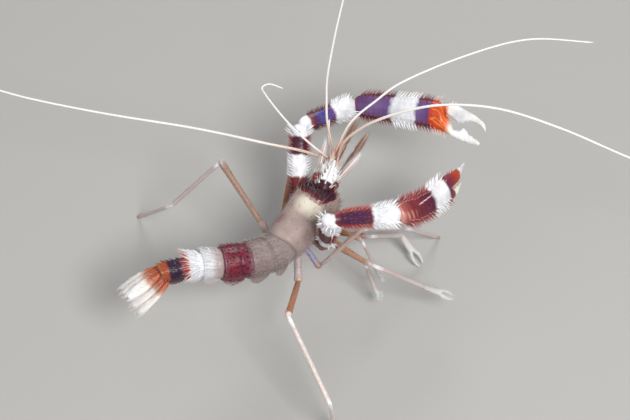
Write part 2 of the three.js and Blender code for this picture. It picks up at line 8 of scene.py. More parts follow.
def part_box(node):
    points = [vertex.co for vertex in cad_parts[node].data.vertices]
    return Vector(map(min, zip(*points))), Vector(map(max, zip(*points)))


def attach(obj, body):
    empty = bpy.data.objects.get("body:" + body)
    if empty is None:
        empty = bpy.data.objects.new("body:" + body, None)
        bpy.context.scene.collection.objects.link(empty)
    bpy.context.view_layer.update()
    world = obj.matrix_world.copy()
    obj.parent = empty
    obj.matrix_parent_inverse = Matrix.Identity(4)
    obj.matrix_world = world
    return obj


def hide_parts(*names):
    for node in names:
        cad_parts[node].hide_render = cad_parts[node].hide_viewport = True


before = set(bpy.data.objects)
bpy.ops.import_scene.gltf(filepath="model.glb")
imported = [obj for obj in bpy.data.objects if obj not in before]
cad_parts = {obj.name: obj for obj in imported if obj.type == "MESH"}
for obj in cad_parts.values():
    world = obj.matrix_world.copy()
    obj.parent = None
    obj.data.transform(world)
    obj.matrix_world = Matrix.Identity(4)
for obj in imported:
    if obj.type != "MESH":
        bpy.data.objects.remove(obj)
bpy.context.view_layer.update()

# ------------------------------------------------------------------ table, lamps and camera
# The model stands on a plain pale table under three soft lamps.
# The camera looks down on its right flank, from above and behind.
CAMERA_TURN, CAMERA_HEIGHT = math.radians(-62), math.radians(55)
CAMERA_TARGET, CAMERA_DISTANCE = Vector((-0.00854, -0.00511, 0.02526)), 0.310
LENS, FILM_WIDTH = 100, 36
LAMP_TARGET = Vector((0, 0, 0.02))
# turn, height, distance, size, watts
LAMPS = {"key_lamp": (-35, 52, 0.55, 0.20, 3.05),
         "fill_lamp": (-135, 40, 0.6, 0.45, 0.7),
         "back_lamp": (110, 38, 0.6, 0.30, 1.4)}
ROOM_COLOUR, ROOM_LIGHT = (0.90, 0.92, 0.95, 1), 0.23
TABLE_COLOUR, TABLE_REACH = (0.40, 0.39, 0.375, 1), 3


def aim(obj, target, turn, height, distance):
    """Puts a lamp or camera at a turn and height round a point, looking at it."""
    away = Vector((math.sin(turn) * math.cos(height), -math.cos(turn) * math.cos(height), math.sin(height)))
    look = away.to_track_quat("Z", "Y").to_matrix().to_4x4()
    obj.matrix_world = Matrix.Translation(target + away * distance) @ look
    bpy.context.scene.collection.objects.link(obj)


camera_data = bpy.data.cameras.new("camera")
camera_data.lens = LENS
camera_data.sensor_width = FILM_WIDTH
camera_data.clip_start = 0.01
camera = bpy.data.objects.new("camera", camera_data)
aim(camera, CAMERA_TARGET, CAMERA_TURN, CAMERA_HEIGHT, CAMERA_DISTANCE)
bpy.context.scene.camera = camera

for lamp_name, (turn, height, distance, size, watts) in LAMPS.items():
    lamp_data = bpy.data.lights.new(lamp_name, "AREA")
    lamp_data.shape = "DISK"
    lamp_data.size = size
    lamp_data.energy = watts
    lamp = bpy.data.objects.new(lamp_name, lamp_data)
    aim(lamp, LAMP_TARGET, math.radians(turn), math.radians(height), distance)

world = bpy.data.worlds.new("room")
world.use_nodes = True
world.node_tree.nodes["Background"].inputs["Color"].default_value = ROOM_COLOUR
world.node_tree.nodes["Background"].inputs["Strength"].default_value = ROOM_LIGHT
bpy.context.scene.world = world
bpy.context.scene.view_settings.view_transform = "Standard"

table_corners = [(x * TABLE_REACH, y * TABLE_REACH, 0) for x, y in ((-1, -1), (1, -1), (1, 1), (-1, 1))]
table_mesh = bpy.data.meshes.new("table")
table_mesh.from_pydata(table_corners, [], [(0, 1, 2, 3)])
table = bpy.data.objects.new("table", table_mesh)
bpy.context.scene.collection.objects.link(table)
table_finish = bpy.data.materials.new("table_top")
table_finish.use_nodes = True
table_finish.node_tree.nodes["Principled BSDF"].inputs["Base Color"].default_value = TABLE_COLOUR
table_finish.node_tree.nodes["Principled BSDF"].inputs["Roughness"].default_value = 0.9
table_mesh.materials.append(table_finish)

# ------------------------------------------------------------------ carapace and rostrum
# The shield over head and chest: one thin moulded shell, clear and greyish behind, with a dark red
# band in front and a white beak. Short spines lean forward all over its front half.
BODY_HEIGHT = 21.5                           # of the carapace's rear middle; all sizes are millimetres
NOSE_UP, LEAN_RIGHT, TURNED = 5, 12, 2       # degrees
LEFT, RIGHT = 1, -1
WHITE, SMOKE, MAROON = (0.85, 0.85, 0.84), (0.34, 0.275, 0.26), (0.075, 0.007, 0.016)
lean = (Matrix.Rotation(math.radians(TURNED), 3, "Z") @ Matrix.Rotation(math.radians(-NOSE_UP), 3, "Y")
        @ Matrix.Rotation(math.radians(LEAN_RIGHT), 3, "X"))


def body_way(x, y, z):
    """A direction of the head and chest: x to the nose, y to the left, z to the back."""
    return lean @ Vector((x, y, z))


def body_spot(x, y, z):
    """A point of the head and chest, from the rear middle of the carapace."""
    return body_way(x, y, z) + Vector((0, 0, BODY_HEIGHT))


BODY_UP = body_way(0, 0, 1)

FRONT_MIDDLE = -1.35                         # the head's middle line lies this far to the right in front
EYE_RADIUS = 0.8
EYE_BASE, EYE_BALL = (13.3, 1.2, 1.9), (14.75, 1.8, 2.0)         # forward, outward, up
# the left eye's outermost points are known from the body and from the table, and tie the two together
left_ball = body_spot(EYE_BALL[0], FRONT_MIDDLE + EYE_BALL[1], EYE_BALL[2])
table_middle = left_ball + Vector([EYE_RADIUS] * 3) - Vector(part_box("eye_left")[1]) * 1000
table_middle.z = 0


def smooth(knots, values, at):
    """Cubic curves through the knots that never overshoot them."""
    x, y, at = np.asarray(knots, float), np.asarray(values, float), np.asarray(at, float)
    y = y.reshape(len(x), -1)
    step, slope = np.diff(x)[:, None], np.diff(y, axis=0) / np.diff(x)[:, None]
    rate = np.zeros_like(y)
    same = slope[:-1] * slope[1:] > 0
    weight_a, weight_b = 2 * step[1:] + step[:-1], step[1:] + 2 * step[:-1]
    with np.errstate(divide="ignore", invalid="ignore"):
        blend = (weight_a + weight_b) / (weight_a / slope[:-1] + weight_b / slope[1:])
    rate[1:-1] = np.where(same, blend, 0)
    rate[0], rate[-1] = slope[0], slope[-1]
    k = np.clip(np.searchsorted(x, at) - 1, 0, len(x) - 2)
    u, h = ((at - x[k]) / (x[k + 1] - x[k]))[:, None], (x[k + 1] - x[k])[:, None]
    return ((1 + 2 * u) * (1 - u) ** 2 * y[k] + u * (1 - u) ** 2 * h * rate[k]
            + u * u * (3 - 2 * u) * y[k + 1] - u * u * (1 - u) * h * rate[k + 1])


def hump(value, middle, width):
    """1 at the middle, and fading to almost nothing two widths away."""
    return np.exp(-((value - middle) / width) ** 2)


class Casting:
    """A growing mesh with the values at each point that its paint follows."""

    def __init__(self, *value_names):
        self.points, self.faces, self.size = [], [], 0
        self.values = {name: [] for name in ("along", "tip", *value_names)}

    def add(self, points, faces, **values):
        self.points.append(points)
        self.faces.extend([tuple(i + self.size for i in face) for face in faces])
        self.size += len(points)
        for name, column in self.values.items():
            column.append(np.broadcast_to(values.get(name, 0.0), len(points)).astype(float))


class Skin:
    """A smooth closed skin over rings: rows of (place along, centre, half width, half height).

    relief(place, angle) raises it, power squares its section, shade(place) gives the place along the
    paint's stops, and aheads are the ways that the rings face, where they don't follow the centres.
    """

    def __init__(self, rings, up, relief=None, power=1.0, shade=None, aheads=None):
        self.at = np.array([ring[0] for ring in rings], float)
        self.table = np.array([[*ring[1], ring[2], ring[3]] for ring in rings], float)
        self.up, self.relief, self.power = np.array(up), relief, power
        self.shade = shade or (lambda along: along)
        self.aheads = None if aheads is None else np.array([list(way) for way in aheads], float)

    def spread(self, along):
        """Centres, sizes and cross directions of the rings at these places."""
        rows, middles = smooth(self.at, self.table, along), self.table[:, :3]
        if self.aheads is None:
            tiny = (self.at[-1] - self.at[0]) * 1e-3
            forward = (smooth(self.at, middles, np.minimum(along + tiny, self.at[-1]))
                       - smooth(self.at, middles, np.maximum(along - tiny, self.at[0])))
        else:
            forward = smooth(self.at, self.aheads, along)
        forward /= np.linalg.norm(forward, axis=1)[:, None] + 1e-12
        side = np.cross(forward, self.up)
        side /= np.linalg.norm(side, axis=1)[:, None]
        return rows, forward, side, np.cross(side, forward)

    def grid(self, along, angle):
        """Points and outward directions at places along and angles round (0 right, 90 degrees up)."""
        rows, forward, side, up = self.spread(along)
        c, s = np.cos(angle), np.sin(angle)
        c, s = np.sign(c) * abs(c) ** self.power, np.sign(s) * abs(s) ** self.power
        wide, high = rows[:, 3:4], rows[:, 4:5]
        side, up = side[:, None], up[:, None]
        out = side * (c * high)[..., None] + up * (s * wide)[..., None]
        out /= np.linalg.norm(out, axis=2)[..., None] + 1e-12
        points = rows[:, None, :3] + side * (c * wide)[..., None] + up * (s * high)[..., None]
        if self.relief:
            points = points + out * self.relief(along[:, None], angle)[..., None]
        return points, out, forward

    def spot(self, along, angle):
        """One point on the skin, the way out of it and the way along it."""
        points, out, forward = self.grid(np.array([along]), np.array([[math.radians(angle)]]))
        return Vector(points[0, 0]), Vector(out[0, 0]), Vector(forward[0])

    def cast(self, casting, count=60, sides=32, **fields):
        """Adds the skin to a casting; a field is a number or a function of (along, angle)."""
        near_ends = [np.linspace(*self.at[:2], 5), np.linspace(*self.at[-2:], 5)]
        along = np.unique(np.concatenate([np.linspace(self.at[0], self.at[-1], count), self.at, *near_ends]))
        count = len(along)
        angle = np.tile(np.linspace(0, 2 * math.pi, sides, endpoint=False), (count, 1))
        points = self.grid(along, angle)[0]
        ends = [points[0].mean(axis=0), points[-1].mean(axis=0)]
        a = np.arange(count - 1)[:, None] * sides + np.arange(sides)
        b = np.arange(count - 1)[:, None] * sides + (np.arange(sides) + 1) % sides
        faces = np.stack([a, a + sides, b + sides, b], axis=2).reshape(-1, 4).tolist()
        first, last = count * sides, (count - 1) * sides
        for k in range(sides):
            n = (k + 1) % sides
            faces += [(first, k, n), (first + 1, last + n, last + k)]
        spread = {}
        for name, field in {"along": lambda t, a: self.shade(t) + 0 * a, **fields}.items():
            plane = np.broadcast_to(field(along[:, None], angle) if callable(field) else field, angle.shape)
            spread[name] = np.concatenate([plane.ravel(), [plane[0].mean(), plane[-1].mean()]])
        casting.add(np.vstack([points.reshape(-1, 3), ends]), faces, **spread)
        return self


# place along a spine, and radius as a share of its base
SPINE_RINGS = ((-0.3, 1.15), (0.0, 1.0), (0.3, 0.74), (0.62, 0.46), (0.88, 0.20), (1.0, 0.04))
SPINE_CURL = 0.3                             # how far the point bends forward, as a share of the length


def rod_faces(rows, sides):
    """Quads round a rod made of rings of points, and its two closed ends."""
    quads = [(i + k, i + (k + 1) % sides, i + sides + (k + 1) % sides, i + sides + k)
             for i in range(0, (rows - 1) * sides, sides) for k in range(sides)]
    return quads + [tuple(range(sides))[::-1], tuple(range((rows - 1) * sides, rows * sides))]


def spine(casting, skin, place, angle, outward, onward, length, base, curl=True, sides=6, pale=1.0, **values):
    """A slim spine on a skin, leaning out of it and on along it by these shares.

    pale is the value of its point, which the paint's tip colour follows.
    """
    root, out, ahead = skin.spot(place, angle)
    way = (out * outward + ahead * onward).normalized()
    side = way.orthogonal().normalized()
    across = way.cross(side)
    bend = ahead.normalized() if curl else Vector((0, 0, 0))
    ring = [(math.cos(k * math.tau / sides), math.sin(k * math.tau / sides)) for k in range(sides)]
    points, tips = [], []
    for t, r in SPINE_RINGS:
        middle = root + way * (length * t) + bend * (length * SPINE_CURL * max(t, 0) ** 2)
        points += [middle + (side * c + across * s) * (base * r) for c, s in ring]
        tips += [max(t, 0.0)] * sides
    casting.add(np.array([list(p) for p in points]), rod_faces(len(SPINE_RINGS), sides),
                tip=pale * np.array(tips), **values)


def piece(name, casting, finish, nodes, slot):
    """Turns a casting into a piece of the model, in metres, that stands for its CAD nodes."""
    points = (np.vstack(casting.points) - np.array(table_middle)) * 0.001
    mesh = bpy.data.meshes.new(name)
    mesh.from_pydata(points.tolist(), [], casting.faces)
    mesh.polygons.foreach_set("use_smooth", [True] * len(mesh.polygons))
    for value_name, columns in casting.values.items():
        column = mesh.attributes.new(value_name, "FLOAT", "POINT")
        column.data.foreach_set("value", np.concatenate(columns))
    mesh.materials.append(finish)
    mesh.update()
    obj = bpy.data.objects.new(name, mesh)
    bpy.context.scene.collection.objects.link(obj)
    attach(obj, "root")
    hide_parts(*nodes)


NUMBER, COLOUR = "NodeSocketFloat", "NodeSocketColor"


def new_group(name, inputs, outputs):
    """An empty node group with named sockets, and its input and output nodes."""
    tree = bpy.data.node_groups.new(name, "ShaderNodeTree")
    for socket, kind in inputs:
        tree.interface.new_socket(socket, in_out="INPUT", socket_type=kind)
    for socket, kind in outputs:
        tree.interface.new_socket(socket, in_out="OUTPUT", socket_type=kind)
    return tree, tree.nodes.new("NodeGroupInput").outputs, tree.nodes.new("NodeGroupOutput").inputs


def wire(tree, kind, settings=None, **sockets):
    """Adds a node; a socket, by name or as i and its number, gets a value or the output that feeds it."""
    node = tree.nodes.new(kind)
    for key, value in (settings or {}).items():
        setattr(node, key, value)
    for key, value in sockets.items():
        numbered = key[0] == "i" and key[1:].isdigit()
        socket = node.inputs[int(key[1:]) if numbered else key.replace("_", " ")]
        if isinstance(value, bpy.types.NodeSocket):
            tree.links.new(value, socket)
        else:
            socket.default_value = value
    return node


def sum_node(tree, operation, *numbers, clamp=False):
    """The result of one Math node."""
    sockets = {f"i{k}": number for k, number in enumerate(numbers)}
    return wire(tree, "ShaderNodeMath", {"operation": operation, "use_clamp": clamp}, **sockets).outputs[0]


def lay_over(tree, amount, under, over):
    """Lays one colour over another by an amount from 0 to 1."""
    return wire(tree, "ShaderNodeMix", {"data_type": "RGBA"}, Factor=amount, i6=under, i7=over).outputs[2]


# an uneven edge for a painted band
ragged_edge, given, made = new_group(
    "ragged edge", [("Place", NUMBER), ("Reach", NUMBER), ("Fineness", NUMBER)], [("Place", NUMBER)])
where = wire(ragged_edge, "ShaderNodeNewGeometry").outputs["Position"]
grain = wire(ragged_edge, "ShaderNodeTexNoise", Vector=where, Scale=given["Fineness"], Detail=3.0)
shift = sum_node(ragged_edge, "SUBTRACT", grain.outputs["Fac"], 0.5)
shifted = sum_node(ragged_edge, "MULTIPLY_ADD", shift, given["Reach"], given["Place"])
ragged_edge.links.new(shifted, made["Place"])

# cloudiness under the shell, and pigment spots that leave the palest places clean
pigment, given, made = new_group(
    "pigment", [("Colour", COLOUR), ("Spot Colour", COLOUR), ("Spots", NUMBER), ("Spot Fineness", NUMBER),
                ("Cloud", NUMBER), ("Cloud Fineness", NUMBER)], [("Colour", COLOUR)])
where = wire(pigment, "ShaderNodeNewGeometry").outputs["Position"]
cloud = wire(pigment, "ShaderNodeTexNoise", Vector=where, Scale=given["Cloud Fineness"], Detail=4.0)
swing = sum_node(pigment, "MULTIPLY_ADD", cloud.outputs["Fac"], given["Cloud"], 1.0)
light = sum_node(pigment, "MULTIPLY_ADD", given["Cloud"], -0.5, swing)
clouded = wire(pigment, "ShaderNodeVectorMath", {"operation": "SCALE"}, i0=given["Colour"], Scale=light)
cells = wire(pigment, "ShaderNodeTexVoronoi", Vector=where, Scale=given["Spot Fineness"], Randomness=1.0)
spot = wire(pigment, "ShaderNodeMapRange", Value=cells.outputs["Distance"], From_Min=0.42, From_Max=0.18)
paleness = wire(pigment, "ShaderNodeRGBToBW", Color=given["Colour"])
deep = wire(pigment, "ShaderNodeMapRange", Value=paleness.outputs[0], From_Min=0.62, From_Max=0.36)
shown = sum_node(pigment, "MULTIPLY", deep.outputs[0], given["Spots"])
amount = sum_node(pigment, "MULTIPLY", spot.outputs[0], shown, clamp=True)
pigment.links.new(lay_over(pigment, amount, clouded.outputs[0], given["Spot Colour"]), made["Colour"])

# the shell's fine pimples and wrinkles, and its uneven wet gloss
shell_grain, given, made = new_group(
    "shell grain", [("Fineness", NUMBER), ("Dull", NUMBER), ("Wet", NUMBER)],
    [("Height", NUMBER), ("Roughness", NUMBER)])
where = wire(shell_grain, "ShaderNodeNewGeometry").outputs["Position"]
pimples = wire(shell_grain, "ShaderNodeTexVoronoi", {"feature": "SMOOTH_F1"}, Vector=where,
               Scale=given["Fineness"])
wrinkles = wire(shell_grain, "ShaderNodeTexNoise", Vector=where, Scale=given["Fineness"], Detail=5.0)
height = sum_node(shell_grain, "MULTIPLY_ADD", pimples.outputs["Distance"], -0.8, wrinkles.outputs["Fac"])
gloss = wire(shell_grain, "ShaderNodeMapRange", Value=wrinkles.outputs["Fac"], From_Min=0.3, From_Max=0.7,
             To_Min=given["Wet"], To_Max=given["Dull"])
shell_grain.links.new(height, made["Height"])
shell_grain.links.new(gloss.outputs[0], made["Roughness"])

GRAIN_HEIGHT = 0.0002                        # metres
FLESH_REACH, FLESH_RADIUS = 0.0008, (1.0, 0.55, 0.45)        # how far red, green and blue light spread
COAT_ROUGHNESS, SHELL_IOR = 0.16, 1.42


def ramp(tree, source, stops):
    """A colour ramp with (place, colour or grey) stops."""
    node = wire(tree, "ShaderNodeValToRGB", Fac=source)
    elements = node.color_ramp.elements
    while len(elements) < len(stops):
        elements.new(0.5)
    for element, (place, value) in zip(elements, stops):
        element.position = place
        element.color = (value, value, value, 1) if isinstance(value, (int, float)) else (*value, 1)
    return node.outputs["Color"]


def paint(name, base, layers=(), ragged=0.03, edge_fineness=1100, spots=0.25, spot_colour=MAROON,
          spot_fineness=1500, cloud=0.35, cloud_fineness=350, tips=None, tip_amount=0.4, grain=900,
          bump=0.25, dull=0.54, wet=0.34, flesh=0.10, clear=None, coat=0.12):
    """Paint under a wet shell.

    base: stops along the piece. layers: (value, stops, colour) laid on in turn.
    clear: (value, stops) for the cover, 1 solid and 0 clear.
    """
    finish = bpy.data.materials.new(name)
    finish.use_nodes = True
    tree = finish.node_tree
    shader = tree.nodes["Principled BSDF"].inputs

    def value_of(value):
        return wire(tree, "ShaderNodeAttribute", {"attribute_name": value}).outputs["Fac"]

    def place(value):
        edge = wire(tree, "ShaderNodeGroup", {"node_tree": ragged_edge}, Place=value_of(value), Reach=ragged,
                    Fineness=edge_fineness)
        return edge.outputs["Place"]

    colour = ramp(tree, place("along"), base)
    for value, stops, shade in layers:
        colour = lay_over(tree, ramp(tree, place(value), stops), colour, (*shade, 1))
    dots = wire(tree, "ShaderNodeGroup", {"node_tree": pigment}, Colour=colour,
                Spot_Colour=(*spot_colour, 1), Spots=spots, Spot_Fineness=spot_fineness, Cloud=cloud,
                Cloud_Fineness=cloud_fineness)
    colour = dots.outputs["Colour"]
    if tips:
        amount = sum_node(tree, "MULTIPLY", value_of("tip"), tip_amount)
        colour = lay_over(tree, amount, colour, (*tips, 1))
    tree.links.new(colour, shader["Base Color"])
    skin = wire(tree, "ShaderNodeGroup", {"node_tree": shell_grain}, Fineness=grain, Dull=dull, Wet=wet)
    tree.links.new(skin.outputs["Roughness"], shader["Roughness"])
    raised = wire(tree, "ShaderNodeBump", Strength=bump, Distance=GRAIN_HEIGHT, Height=skin.outputs["Height"])
    tree.links.new(raised.outputs["Normal"], shader["Normal"])
    if clear:
        tree.links.new(ramp(tree, place(clear[0]), clear[1]), shader["Alpha"])
    shader["Subsurface Weight"].default_value = flesh
    shader["Subsurface Radius"].default_value = FLESH_RADIUS
    shader["Subsurface Scale"].default_value = FLESH_REACH
    shader["Coat Weight"].default_value = coat
    shader["Coat Roughness"].default_value = COAT_ROUGHNESS
    shader["IOR"].default_value = SHELL_IOR
    return finish


CARAPACE_LENGTH, CARAPACE_WIDTH, CARAPACE_DEPTH = 15.2, 8.6, 9.7
# place along, width and depth as shares, height of the middle, bend to the left
CARAPACE_RINGS = (
    (-0.012, 0.70, 0.70, -0.10, 0.0), (0, 0.78, 0.78, -0.10, 0.0), (0.055, 0.87, 0.85, -0.10, -0.05),
    (0.23, 0.94, 0.93, -0.20, -0.50), (0.42, 0.98, 0.95, -0.30, -0.95), (0.60, 1.04, 0.97, -0.30, -1.35),
    (0.75, 1.02, 0.94, -0.15, -1.65), (0.86, 0.90, 0.82, 0.25, -1.75), (0.93, 0.56, 0.60, 0.90, -1.65),
    (0.985, 0.28, 0.38, 1.70, -1.52), (1.0, 0.18, 0.28, 1.90, -1.50), (1.008, 0.08, 0.12, 1.95, -1.50))
GROOVE_BACK, GROOVE_WIDTH, GROOVE_DEPTH = 0.60, 0.022, 0.22      # the neck groove, as shares and mm
# rear edge of the dark band: degrees from the back, right negative, and place along
BAND_REAR = ((-180, 1.1), (-75, 1.02), (-52, 0.90), (-36, 0.765), (-22, 0.635), (-4, 0.625), (30, 0.65),
             (52, 0.67), (75, 0.78), (95, 0.95), (115, 1.1), (180, 1.1))


def from_back(angle):
    """Turn from the middle of the back, left positive."""
    return ((angle - math.pi / 2 + math.pi) % math.tau) - math.pi


def down_flank(angle):
    """0 on the back, 1 halfway down the sides, 2 under the belly."""
    return abs(from_back(angle)) / (math.pi / 2)


def carapace_relief(along, angle):
    """The neck groove, the rear lip, the swollen cheeks and fine wrinkles."""
    down = down_flank(angle)
    groove = -GROOVE_DEPTH * hump(along, GROOVE_BACK + 0.13 * down, GROOVE_WIDTH) * (down < 1.5)
    lip = 0.10 * hump(along, 0.02, 0.018)
    cheek = 0.18 * hump(along, 0.76, 0.07) * hump(down, 0.8, 0.35)
    wrinkle = 0.02 * np.sin(along * 120 + 3 * np.cos(angle * 2)) * np.sin(angle * 5 + along * 9)
    return groove + lip + cheek + wrinkle


def carapace_rings(share):
    """The carapace's rings at a share of its width and depth."""
    return [(x, body_spot(x * CARAPACE_LENGTH, y, z), w * share * CARAPACE_WIDTH / 2,
             h * share * CARAPACE_DEPTH / 2) for x, w, h, z, y in CARAPACE_RINGS]


def in_band(along, angle):
    """0.5 at the rear edge of the dark band, a V that points back; rising forward."""
    leftward = np.degrees(from_back(angle))
    line, places = zip(*BAND_REAR)
    jags = 0.012 * np.sin(leftward * 0.55) + 0.008 * np.sin(leftward * 1.3 + 1)
    return np.clip(0.5 + (along - np.interp(leftward, line, places) - jags) * 1.25, 0, 1)


carapace = Casting("band")
carapace_skin = Skin(carapace_rings(1), BODY_UP, relief=carapace_relief, power=0.95)
carapace_skin.cast(carapace, count=150, sides=120, band=in_band)

SPINE_SPACING, PRICKLE_SPACING = 0.042, 0.085          # as shares of the carapace's length
SPINES_END, PRICKLES_START, PRICKLES_END = 0.985, 0.07, 0.6
shell_dice = random.Random(11)
# rows of spines on the front half, by degrees down from the back
for down in (6, 20, 34, 48, 62, 76, 92, 110):
    for side in (LEFT, RIGHT):
        place = (0.60 if down < 55 else 0.72) + 0.01 * (down % 3)
        while place < SPINES_END:
            here = place + shell_dice.uniform(-0.01, 0.01)
            turn = 90 + side * (down + shell_dice.uniform(-4, 4))
            size = shell_dice.uniform(0.75, 1.15) * (0.7 if down > 90 else 1)
            banded = float(in_band(here, math.radians(turn)))
            on_band = banded > 0.5
            spine(carapace, carapace_skin, here, turn, 0.75, 1, size * (1 if on_band else 0.6), 0.13,
                  pale=float(on_band), along=here, band=banded)
            place += SPINE_SPACING
# short prickles on the clear rear half
for down in (16, 40, 64, 88):
    place = PRICKLES_START
    while place < PRICKLES_END:
        for side in (LEFT, RIGHT):
            here = place + shell_dice.uniform(-0.02, 0.02)
            spine(carapace, carapace_skin, here, 90 + side * (down + shell_dice.uniform(-6, 6)), 0.6, 1,
                  shell_dice.uniform(0.28, 0.5), 0.075, pale=0.4, along=here)
        place += PRICKLE_SPACING

ROSTRUM_START, ROSTRUM_LENGTH, ROSTRUM_MIDDLE = 13.6, 4.6, -1.6
ROSTRUM_TURN = 0.45                          # how far left its tip lies of its root
# place along, height, half width, half depth
ROSTRUM_RINGS = ((-0.25, 2.8, 1.3, 0.85), (0.0, 3.1, 1.15, 0.85), (0.3, 3.4, 0.90, 0.75),
                 (0.7, 3.9, 0.48, 0.50), (0.95, 4.25, 0.22, 0.27), (1.0, 4.32, 0.06, 0.06))
rostrum_rings = [
    (t, body_spot(ROSTRUM_START + ROSTRUM_LENGTH * t, ROSTRUM_MIDDLE + ROSTRUM_TURN * t, z), w, h)
    for t, z, w, h in ROSTRUM_RINGS]
rostrum_skin = Skin(rostrum_rings, BODY_UP)
rostrum_skin.cast(carapace, count=40, sides=24, along=1.0,
                  band=lambda t, a: 0.86 + 0.14 * np.clip(t * 5, 0, 1) + 0 * a)
for t, length in ((0.0, 1.0), (0.16, 1.1), (0.32, 1.05), (0.48, 0.95), (0.64, 0.8), (0.8, 0.6)):
    spine(carapace, rostrum_skin, t, 90, 1, 1.1, length, 0.15, along=1, band=1)
for t in (-0.05, 0.12, 0.3, 0.48, 0.66):
    for angle in (-5, 30, 150, 185):
        spine(carapace, rostrum_skin, t, angle, 1, 1.2, 0.85, 0.13, along=1, band=1)

carapace_paint = paint(
    "carapace_shell", [(0, SMOKE), (0.5, (0.38, 0.30, 0.27)), (1, (0.48, 0.35, 0.31))],
    layers=(("band", [(0.485, 0), (0.505, 1)], (0.17, 0.014, 0.016)),
            ("band", [(0.515, 0), (0.55, 1)], (0.045, 0.006, 0.013)),
            ("band", [(0.58, 0), (0.66, 0.8), (0.78, 0.6), (0.86, 0.1)], (0.014, 0.006, 0.022)),
            ("band", [(0.90, 0), (0.96, 1)], WHITE)),
    ragged=0.05, spots=0.2, spot_colour=(0.24, 0.09, 0.07), cloud=0.3, tips=(0.30, 0.06, 0.05),
    tip_amount=0.15, dull=0.52, wet=0.32, coat=0.15, clear=("band", [(0.0, 0.26), (0.44, 0.28), (0.50, 1.0)]))
piece("carapace_shell", carapace, carapace_paint, ["carapace"], "clear_shell")

# ------------------------------------------------------------------ chest flesh
# The soft body inside the carapace, just under the shell: greyish pink muscle and pinker cheeks, whose light
# pink is partly their own colour and partly a painted highlight on the swollen cheeks, with the cream organs
# as one round patch behind the dark band. It shows through the clear shell.
FLESH_SHARE = 0.93                           # of the shell's width and depth


def patch(along_at, down_at, along_size, down_size):
    """A soft round patch on both flanks at a place along and down from the back."""
    return lambda along, angle: (hump(along, along_at, along_size)
                                 * hump(down_flank(angle), down_at, down_size))


flesh = Casting("organ", "violet", "mass", "cheek")
flesh_skin = Skin(carapace_rings(FLESH_SHARE), BODY_UP, power=0.95)
flesh_skin.cast(flesh, count=110, sides=96, organ=patch(0.515, 0.0, 0.125, 0.42),
                violet=patch(0.23, 0.62, 0.10, 0.28), mass=patch(0.08, 0.15, 0.14, 0.5),
                cheek=patch(0.76, 0.75, 0.085, 0.24))
flesh_paint = paint(
    "chest_flesh",
    [(0, (0.36, 0.285, 0.27)), (0.3, (0.43, 0.33, 0.30)), (0.7, (0.52, 0.40, 0.36)),
     (1, (0.42, 0.27, 0.235))],
    layers=(("mass", [(0.2, 0), (0.8, 0.75)], (0.50, 0.37, 0.33)),
            ("violet", [(0.2, 0), (0.9, 0.85)], (0.24, 0.11, 0.13)),
            ("organ", [(0.12, 0), (0.45, 0.6), (0.85, 1)], (1.0, 0.955, 0.79)),
            # the cheek patch is a lighter pink: partly the cheeks' own colour, partly a painted highlight
            ("cheek", [(0.3, 0), (0.9, 0.7)], (0.72, 0.54, 0.47))),
    ragged=0.10, edge_fineness=700, spots=0.3, spot_colour=(0.50, 0.36, 0.30), cloud=0.7, flesh=0.3, bump=0.4)
piece("chest_flesh", flesh, flesh_paint, ["carapace"], "clear_shell")

# ------------------------------------------------------------------ eyes
# A short stalk of clear shell carries each eye, a glossy reddish ball faceted all over,
# with a dark spot where its facets look straight ahead.
SIDES = (("left", LEFT), ("right", RIGHT))
STALK_RADIUS = 0.43
STALK_RINGS = ((0, 0.6), (0.2, 0.85), (0.5, 0.9), (0.75, 1.25), (0.88, 1.45), (0.96, 1.2))
BALL_RINGS = 13


def ball(casting, middle, radius, way, up):
    """A round ball; its paint runs from back to front, over the second half of the stops."""
    rings = []
    for theta in np.linspace(0.02, math.pi - 0.02, BALL_RINGS):
        wide = radius * math.sin(theta)
        rings.append((theta, middle - way * radius * math.cos(theta), wide, wide))
    skin = Skin(rings, up, shade=lambda theta: 0.5 + theta / math.tau, aheads=[way] * BALL_RINGS)
    skin.cast(casting, count=40, sides=40)


eye_paint = paint(
    "eye_ball", [(0, (0.42, 0.30, 0.28)), (0.42, (0.50, 0.30, 0.27)), (0.5, (0.30, 0.07, 0.06)),
                 (0.78, (0.17, 0.03, 0.03)), (0.88, (0.02, 0.006, 0.012))],
    ragged=0.02, spots=0.5, spot_colour=(0.05, 0.008, 0.015), spot_fineness=5200, cloud=0.2, grain=4200,
    bump=0.35, dull=0.22, wet=0.12, flesh=0.05, coat=0.6)
for label, side in SIDES:
    eye = Casting()
    stalk_root = body_spot(EYE_BASE[0], FRONT_MIDDLE + side * EYE_BASE[1], EYE_BASE[2])
    middle = body_spot(EYE_BALL[0], FRONT_MIDDLE + side * EYE_BALL[1], EYE_BALL[2])
    way = (middle - stalk_root).normalized()
    stalk_skin = Skin([(t, stalk_root.lerp(middle, t), STALK_RADIUS * r, STALK_RADIUS * r)
                       for t, r in STALK_RINGS], BODY_UP, shade=lambda t: t * 0.45)
    stalk_skin.cast(eye, count=24, sides=24)
    ball(eye, middle, EYE_RADIUS, (way + body_way(0.5, 0, 0)).normalized(), BODY_UP)
    piece(f"eye_ball_{label}", eye, eye_paint, [f"eye_{label}"], "eye")

# ------------------------------------------------------------------ mouthparts
# The feeding limbs packed under the head, as one pale ribbed mass of shell with a bearded edge.
# It hangs from the underside of the carapace.
HORN = (0.230, 0.135, 0.100)
MOUTH_START, MOUTH_LENGTH = 10.4, 6
# place forward, half width, half depth, height
MOUTH_RINGS = ((10.4, 1.5, 0.9, -4.9), (12.4, 1.7, 1.3, -4.5), (14.6, 1.5, 1.4, -3.1), (16.4, 0.8, 0.7, -1.8))


def mouth_shade(x):
    return (x - MOUTH_START) / MOUTH_LENGTH


